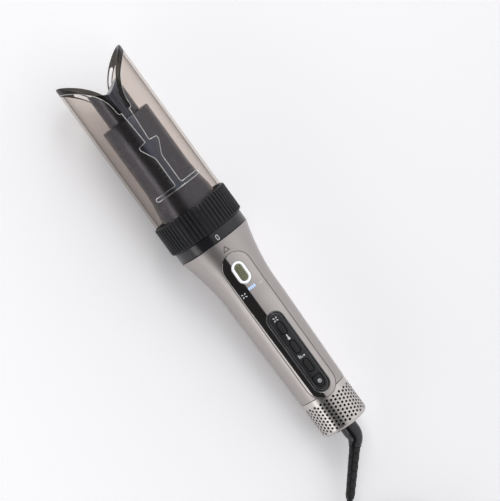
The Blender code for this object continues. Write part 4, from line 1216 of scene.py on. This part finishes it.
def makeGuides():
    outer, thick = tube["radius"], tube["guideWall"]
    quarter = quarterAngles(False)
    angles = quarter + [math.pi - a for a in reversed(quarter[:-1])]
    for name, node, way in (("lipGuideLeft", "lip_guide_left", -1), ("lipGuideRight", "lip_guide_right", 1)):
        bm = bmesh.new()
        columns = []
        for a in angles:
            side = outer * math.sin(a)
            foot, top = wallHeight(side) + tube["gap"], rimHeight(side)
            bend = min(1.1 * mm, (top - foot) * 0.3)
            section = [(outer, foot), (outer, foot + (top - foot) * 0.4)]
            for k in range(5):
                turn = math.pi / 2 * k / 4
                section.append((outer - bend * (1 - math.cos(turn)), top - bend * (1 - math.sin(turn))))
            for k in range(5):
                turn = math.pi / 2 * k / 4
                section.append((outer - thick + bend * (1 - math.sin(turn)),
                                top - bend * (1 - math.cos(turn))))
            section += [(outer - thick, foot + (top - foot) * 0.4), (outer - thick, foot)]
            columns.append([bm.verts.new((way * r * math.sin(a), y, r * math.cos(a))) for r, y in section])
        for a, b in zip(columns, columns[1:]):
            joinRings(bm, a, b)
        bm.faces.new(columns[0])
        bm.faces.new(list(reversed(columns[-1])))
        slotPoints = [(s * mm, (wallHeight(s * mm) + rimHeight(s * mm)) / 2 + 0.2 * mm) for s in range(9, 20)]
        sideOne, sideTwo = [], []
        for i, point in enumerate(slotPoints):
            ahead = (Vector(slotPoints[min(i + 1, len(slotPoints) - 1)])
                     - Vector(slotPoints[max(i - 1, 0)])).normalized()
            reach = 1.3 * mm * (0.55 if i in (0, len(slotPoints) - 1) else 1)
            sideOne.append((point[0] + ahead.y * reach, point[1] - ahead.x * reach))
            sideTwo.append((point[0] - ahead.y * reach, point[1] + ahead.x * reach))
        outline = [(way * x, y) for x, y in sideOne + sideTwo[::-1]]
        if way < 0:
            outline.reverse()
        tool = panel(bmesh.new(), outline, grid=1 * mm, heightAt=lambda x, y, lift: -onTube(x, y, lift),
                     **cutThrough)
        bm = carve(bm, [tool])
        addPiece(name, bm, smokedDark, "head", [node], sharp=30)


def makeBarrel():
    points = [(198, 25.6), (205, 25.4), (213, 24.9), (222, 24.2), (227, 23.4), (232, 22.6), (236, 22.15),
              (240, 21.8),
              (244, 21.6), (248, 21.5)]
    outer = [(y * mm, r * mm) for y, r in points]
    top, r, wall = barrel["top"], barrel["radius"], barrel["wall"]
    profile = outer + [(270 * mm, r), (top - 0.6 * mm, r), (top - 0.2 * mm, r - 0.15 * mm),
                       (top, r - 0.6 * mm),
                       (top, 0.2 * mm), (top - wall, 0.2 * mm), (top - wall, r - wall)]
    profile += [(y, q - wall) for y, q in reversed(outer)]
    addPiece("curlBarrel", lathe(bmesh.new(), profile, barrel["steps"]), anthracite, "head",
             ["curl_barrel"])
    bm = bmesh.new()
    # the vents are dark patches on the barrel, painted shade in place of holes
    for k in range(4):
        panel(bm, stadium(1.2 * mm, 2.0 * mm, barrel["ventAt"] + barrel["ventPitch"] * k, barrel["ventX"],
                          steps=4),
              lift=0.03 * mm, depth=0.5 * mm, edge=0.02 * mm, grid=1 * mm,
              heightAt=lambda x, y, lift: math.sqrt((r + 0.12 * mm + lift) ** 2 - x**2))
    addPiece("barrelVentShade", bm, slotBlack, "head")
    bm = lathe(bmesh.new(), [(core["low"], 0.2 * mm), (core["low"], core["radius"]),
                             (core["top"] - 0.5 * mm, core["radius"]),
                             (core["top"], core["radius"] - 0.5 * mm), (core["top"], 0.2 * mm)], 96)
    edge, deep = core["radius"] * 1.2, core["top"] - core["groove"]
    notch = bmesh.new()
    outline = [(0, deep), (edge, core["top"] + 1.6 * mm), (edge, core["top"] + 5 * mm),
               (-edge, core["top"] + 5 * mm),
               (-edge, core["top"] + 1.6 * mm)]
    front = [notch.verts.new((x, y, 20 * mm)) for x, y in outline]
    back = [notch.verts.new((x, y, -20 * mm)) for x, y in outline]
    notch.faces.new(front)
    notch.faces.new(back[::-1])
    joinRings(notch, front, back)
    bm = carve(bm, [notch])
    for k in range(core["ridges"]):
        turn = math.radians(-6 + 8 * k)
        x, z = core["radius"] * math.sin(turn), core["radius"] * math.cos(turn)
        tubeAlong(bm, [(x, core["low"] + 1 * mm, z), (x, core["top"] - 7 * mm, z)], 0.4 * mm)
    addPiece("barrelCore", bm, anthracite, "head", ["barrel_core"])


makeCollar()
makeBand()
makeTube()
makeGuides()
makeBarrel()
print("curling head made")


# Cord with its swivel, boot, tie and plug
elbow = {"neck": 7.2 * mm, "neckLow": -9.0 * mm, "arc": 11 * mm, "bend": 42, "endRadius": 5.6 * mm,
         "steps": 48}
boot = {"length": 42 * mm, "start": 4.3 * mm, "wide": 4.55 * mm, "narrow": 3.4 * mm, "pitch": 3.6 * mm,
        "rings": 11}
cord = {"radius": 2.5 * mm, "coilMiddle": (-25.7 * mm, -286.4 * mm), "outer": 40.4 * mm, "inner": 20.2 * mm,
        "turns": 4, "lowLayer": 3.5 * mm, "highLayer": 8.55 * mm, "top": 13.9 * mm, "start": 168}
plug = {"middleY": -256.4 * mm, "low": 11.4 * mm, "high": 26.4 * mm, "near": -7.7 * mm, "round": 3.0 * mm,
        "pinAt": -44.0 * mm, "pinSide": 9.5 * mm}


def elbowPath():
    bend, arc = math.radians(elbow["bend"]), elbow["arc"]
    for k in range(15):
        turn = bend * k / 14
        yield (Vector((-arc * (1 - math.cos(turn)), elbow["neckLow"] - arc * math.sin(turn), 0)),
               Vector((-math.sin(turn), -math.cos(turn), 0)),
               elbow["neck"] + (elbow["endRadius"] - elbow["neck"]) * k / 14)


def makeElbow():
    steps = elbow["steps"]
    down = Vector((0, -1, 0))
    rings = [circleRing((0, y * mm, 0), down, r * mm, steps) for y, r in (
        (20.9, 2.9), (20.6, 3.2), (12.4, 3.2), (12.3, 8.3), (12.0, 8.6), (10.7, 8.6), (10.4, 8.3),
                                                                          (10.35, 7.2),
        (4.0, 7.2), (-2.0, 7.2), (-6.0, 7.2))]
    for end, way, r in elbowPath():
        rings.append(circleRing(end, way, r, steps))
    for ahead, radius in ((1.2, 5.6), (1.5, 5.2), (2.6, 5.2), (3.9, 5.2), (4.0, 5.05)):
        rings.append(circleRing(end + way * ahead * mm, way, radius * mm, steps))
    addPiece("swivelElbow", sweepRings(bmesh.new(), rings), glossBlack, "cord_set",
             ["swivel_elbow"],
             sharp=50)


def bootTree():
    # rings joined by staggered ribs along a thinner core
    tree, given, result = nodeTree("bootRings", {"Rings": 11, "Ribs": 4, "Pitch": 3.6 * mm, "First": 3.6 * mm,
                                                 "Wide": 4.5 * mm, "Narrow": 3.5 * mm, "Length": 42 * mm,
                                                 "Thick": 1.9 * mm})

    def sizeAt(distance):
        share = calc(tree, "DIVIDE", distance, given["Length"])
        return calc(tree, "ADD", given["Wide"], calc(tree, "MULTIPLY", share,
                                                     calc(tree, "SUBTRACT", given["Narrow"], given["Wide"])))

    index = addNode(tree, "GeometryNodeInputIndex")["Index"]
    ahead = calc(tree, "ADD", given["First"], calc(tree, "MULTIPLY", index, given["Pitch"]))
    points = addNode(tree, "GeometryNodePoints", {"Count": given["Rings"],
                                                  "Position": vector(tree, 0.0, 0.0, ahead)})[0]
    size = sizeAt(ahead)
    disc = addNode(tree, "GeometryNodeMeshCylinder", {"Vertices": 40, "Radius": 1.0,
                                                      "Depth": given["Thick"]})["Mesh"]
    discs = addNode(tree, "GeometryNodeInstanceOnPoints", {"Points": points, "Instance": disc,
                                                           "Scale": vector(tree, size, size,
                                                                           1.0)})["Instances"]
    step = calc(tree, "FLOOR", calc(tree, "DIVIDE", index, given["Ribs"]))
    part = calc(tree, "SUBTRACT", index, calc(tree, "MULTIPLY", step, given["Ribs"]))
    turn = calc(tree, "DIVIDE", calc(tree, "MULTIPLY", calc(tree, "ADD", part, calc(
        tree, "MULTIPLY", calc(tree, "MODULO", step, 2), 0.5)), math.tau), given["Ribs"])
    middle = calc(tree, "ADD", given["First"], calc(tree, "MULTIPLY", calc(tree, "SUBTRACT", step, 0.5),
                                                    given["Pitch"]))
    reach = calc(tree, "MULTIPLY", sizeAt(middle), 0.80)
    spot = vector(tree, calc(tree, "MULTIPLY", reach, calc(tree, "COSINE", turn)),
                  calc(tree, "MULTIPLY", reach, calc(tree, "SINE", turn)), middle)
    count = calc(tree, "MULTIPLY", given["Rings"], given["Ribs"])
    ribSpots = addNode(tree, "GeometryNodePoints", {"Count": count, "Position": spot})[0]
    rib = addNode(tree, "GeometryNodeMeshCube", {"Size": vector(tree, 1.6 * mm, 2.3 * mm,
                                                                given["Pitch"])})["Mesh"]
    ribs = addNode(tree, "GeometryNodeInstanceOnPoints", {"Points": ribSpots, "Instance": rib,
                                                          "Rotation": vector(tree, 0.0, 0.0,
                                                                             turn)})["Instances"]
    return endTree(tree, given, result, discs, ribs)


def bootLine():
    end, way, _ = list(elbowPath())[-1]
    return end + way * boot["start"], way


def makeBoot():
    length = boot["length"]
    first = boot["pitch"] * 0.9
    rings = [circleRing((0, 0, z * mm), (0, 1e-9, 1), r * mm, 32) for z, r in (
        (0, 4.3), (0.3, 4.58), (2.2, 4.55), (2.5, 3.3), (12, 3.15), (24, 3.0), (38.6, 2.85), (38.9, 3.35),
                                                                               (41.6, 3.35),
        (42, 3.05))]
    bm = growth(bootTree(), sweepRings(bmesh.new(), rings), {
        "Rings": boot["rings"], "Ribs": 4, "Pitch": boot["pitch"], "First": first, "Wide": boot["wide"],
        "Narrow": boot["narrow"], "Length": length, "Thick": 1.9 * mm}, rubberBlack)
    start, way = bootLine()
    front = Vector((0, 0, 1))
    turned = Matrix((front.cross(way), front, way)).transposed().to_4x4()
    turned.translation = start
    bmesh.ops.transform(bm, matrix=turned, verts=bm.verts)
    return addPiece("strainReliefBoot", bm, rubberBlack, "cord_set", ["strain_relief_boot"],
                    sharp=40)


def cordRoute():
    start, way = bootLine()
    exit = wandFrame @ (start + way * boot["length"])
    points = [exit] + [Vector(p) * mm for p in (
        (-40.4, -223.6, 16.1), (-46.3, -232.1, 13.9), (-51.5, -241.0, 10.8), (-55.9, -249.8, 7.6),
                                                (-59.8, -259.0, 5.2),
        (-63.0, -268.5, 3.8))]
    middleX, middleY = cord["coilMiddle"]
    outer, inner, turns = cord["outer"], cord["inner"], cord["turns"]

    def coil(degrees, radius, height):
        a = math.radians(degrees)
        points.append(Vector((middleX + radius * math.cos(a), middleY + radius * math.sin(a), height)))

    steps = turns * 24
    for k in range(steps + 1):
        coil(cord["start"] + 15 * k, outer - (outer - inner) * k / steps, cord["lowLayer"])
    for k in range(1, 9):
        t = k / 8
        coil(cord["start"] + 122 * t, inner,
             cord["lowLayer"] + (cord["highLayer"] - cord["lowLayer"]) * t * t * (3 - 2 * t))
    at = cord["start"] + 122
    for k in range(1, steps + 1):
        coil(at + 15 * k, inner + (outer - inner) * k / steps, cord["highLayer"])
    for k in range(1, 5):
        t = k / 4
        coil(at + 60 * t, outer, cord["highLayer"] + (cord["top"] - cord["highLayer"]) * t * t * (3 - 2 * t))
    points += [Vector(p) * mm for p in ((14.8, -285.4, 13.9), (14.3, -278.4, 14.0), (11.4, -267.4, 15.3),
                                        (4.0, -259.8, 17.4),
                                        (-1.8, -256.7, 18.7), (-6.9, -256.4, 18.9))]
    return points


def smoothLine(points, perSpan=3):
    # a Catmull-Rom curve through the points
    made = []
    for i in range(len(points) - 1):
        a, b, c, d = (points[max(0, i - 1)], points[i], points[i + 1], points[min(len(points) - 1, i + 2)])
        for k in range(perSpan):
            t = k / perSpan
            square, cube = 2 * a - 5 * b + 4 * c - d, 3 * b - a - 3 * c + d
            made.append(0.5 * (2 * b + (c - a) * t + square * t**2 + cube * t**3))
    return made + [points[-1]]


def makeCord():
    line = smoothLine(cordRoute())
    bm = tubeAlong(bmesh.new(), line, cord["radius"], sides=20)
    return addPiece("powerCord", bm, rubberBlack, "cord_set",
                    ["power_cord", "cord_coil", "plug_lead"],
                    sharp=60, inWand=False), line


def makePlug():
    middle, halfHigh = (plug["low"] + plug["high"]) / 2, (plug["high"] - plug["low"]) / 2
    sections = [(0.0, 3.6, 0.55), (0.6, 4.6, 0.7), (2.0, 5.2, 0.8), (6, 6.0, 0.86), (10, 7.4, 0.92),
                (14, 9.1, 0.96), (19, 11.5, 1),
                (22, 14.0, 1), (25, 15.7, 1), (30, 16.5, 1), (34.6, 16.9, 1), (35.6, 16.5, 0.95),
                (36.0, 15.6, 0.88)]
    rings = []
    for ahead, half, tall in sections:
        half, tall = half * mm, halfHigh * tall
        r = min(plug["round"], half * 0.9, tall * 0.9)
        corners = fillet([(-half, -tall, r), (half, -tall, r), (half, tall, r), (-half, tall, r)], steps=6)
        x = plug["near"] - ahead * mm
        rings.append([(x, plug["middleY"] + y, middle + z) for y, z in corners])
    return addPiece("plugBody", sweepRings(bmesh.new(), rings), rubberBlack, "cord_set",
                    ["plug_body"], sharp=45,
             inWand=False)


def makePins():
    pins = []
    for k, side in enumerate((1, -1)):
        node = "plug_pin_%d" % (k + 1)
        y, z = plug["middleY"] + plug["pinSide"] * side, (plug["low"] + plug["high"]) / 2
        metal = [(0, 2.3), (0.1, 2.4), (9.0, 2.4), (17.4, 2.4), (18.3, 2.1), (18.8, 1.3), (18.95, 0.4)]
        rings = [circleRing((plug["pinAt"] - a * mm, y, z), (-1, 0, 0), r * mm, 32) for a, r in metal]
        pins.append(addPiece("plugPin%d" % (k + 1), sweepRings(bmesh.new(), rings), steel, "cord_set",
                             [node],
                             sharp=50, inWand=False))
    return pins


makeElbow()
bootPiece = makeBoot()
powerCord, cordLine = makeCord()
onCord = [bootPiece, makePlug(), *makePins(), bpy.data.objects["cord_tie"]]


# Better finishes for the CAD nodes that stay as they are
motorSteel = makeMetal("motorSteel", (0.52, 0.52, 0.53), 0.34, 1600, (1, 12, 1))
bearingSteel = makeMetal("bearingSteel", (0.66, 0.66, 0.67), 0.18, 2200)
springBrass = makeMetal("springBrass", (0.80, 0.62, 0.30), 0.2, 2600)
contactCopper = makeMetal("contactCopper", (0.78, 0.42, 0.24), 0.25, 2400)
heatWire = makeMetal("heatWire", (0.42, 0.38, 0.36), 0.42, 3200)
magnetGrey = makeMetal("magnetGrey", (0.20, 0.20, 0.21), 0.45, 1800)
potted = makeBlackPlastic("potted", (0.03, 0.032, 0.038), 0.48, 1500, 0.0001)
bladeGrey = makeBlackPlastic("bladeGrey", (0.24, 0.24, 0.25), 0.38, 2400, 0.00004)
bushGrey = makeBlackPlastic("bushGrey", (0.42, 0.41, 0.39), 0.36, 2200, 0.00004)
keptFinishes = [
    (matteBlack, ["motor_mount", "head_base", "outlet_guard", "intake_cage", "bayonet_socket"]),
    (slotBlack, [name + "_switch" for name in ("ion", "heat", "speed", "power", "curl")]),
    (boardGreen, ["main_board", "display_board"]),
    (potted, ["ion_generator", "thermal_cutout"]),
    (motorSteel, ["motor_can"]),
    (bearingSteel, ["rear_bearing", "front_bearing", "motor_shaft"]),
    (copper, ["motor_stator"]),
    (magnetGrey, ["rotor_magnet"]),
    (bladeGrey, ["impeller"]),
    (mica, ["heater_tube", "heater_frame"]),
    (heatWire, ["heater_coil"]),
    (meshDark, ["filter_mesh"]),
    (bushGrey, ["swivel_bush"]),
    (springBrass, ["contact_spring_1", "contact_spring_2"]),
    (contactCopper, ["slip_ring_1", "slip_ring_2"]),
    (anthracite, ["air_diverter"]),
    (rubberBlack, ["cord_tie"]),
]
for finish, nodes in keptFinishes:
    for node in nodes:
        for slot in bpy.data.objects[node].material_slots:
            slot.material = finish
print("kept nodes finished")
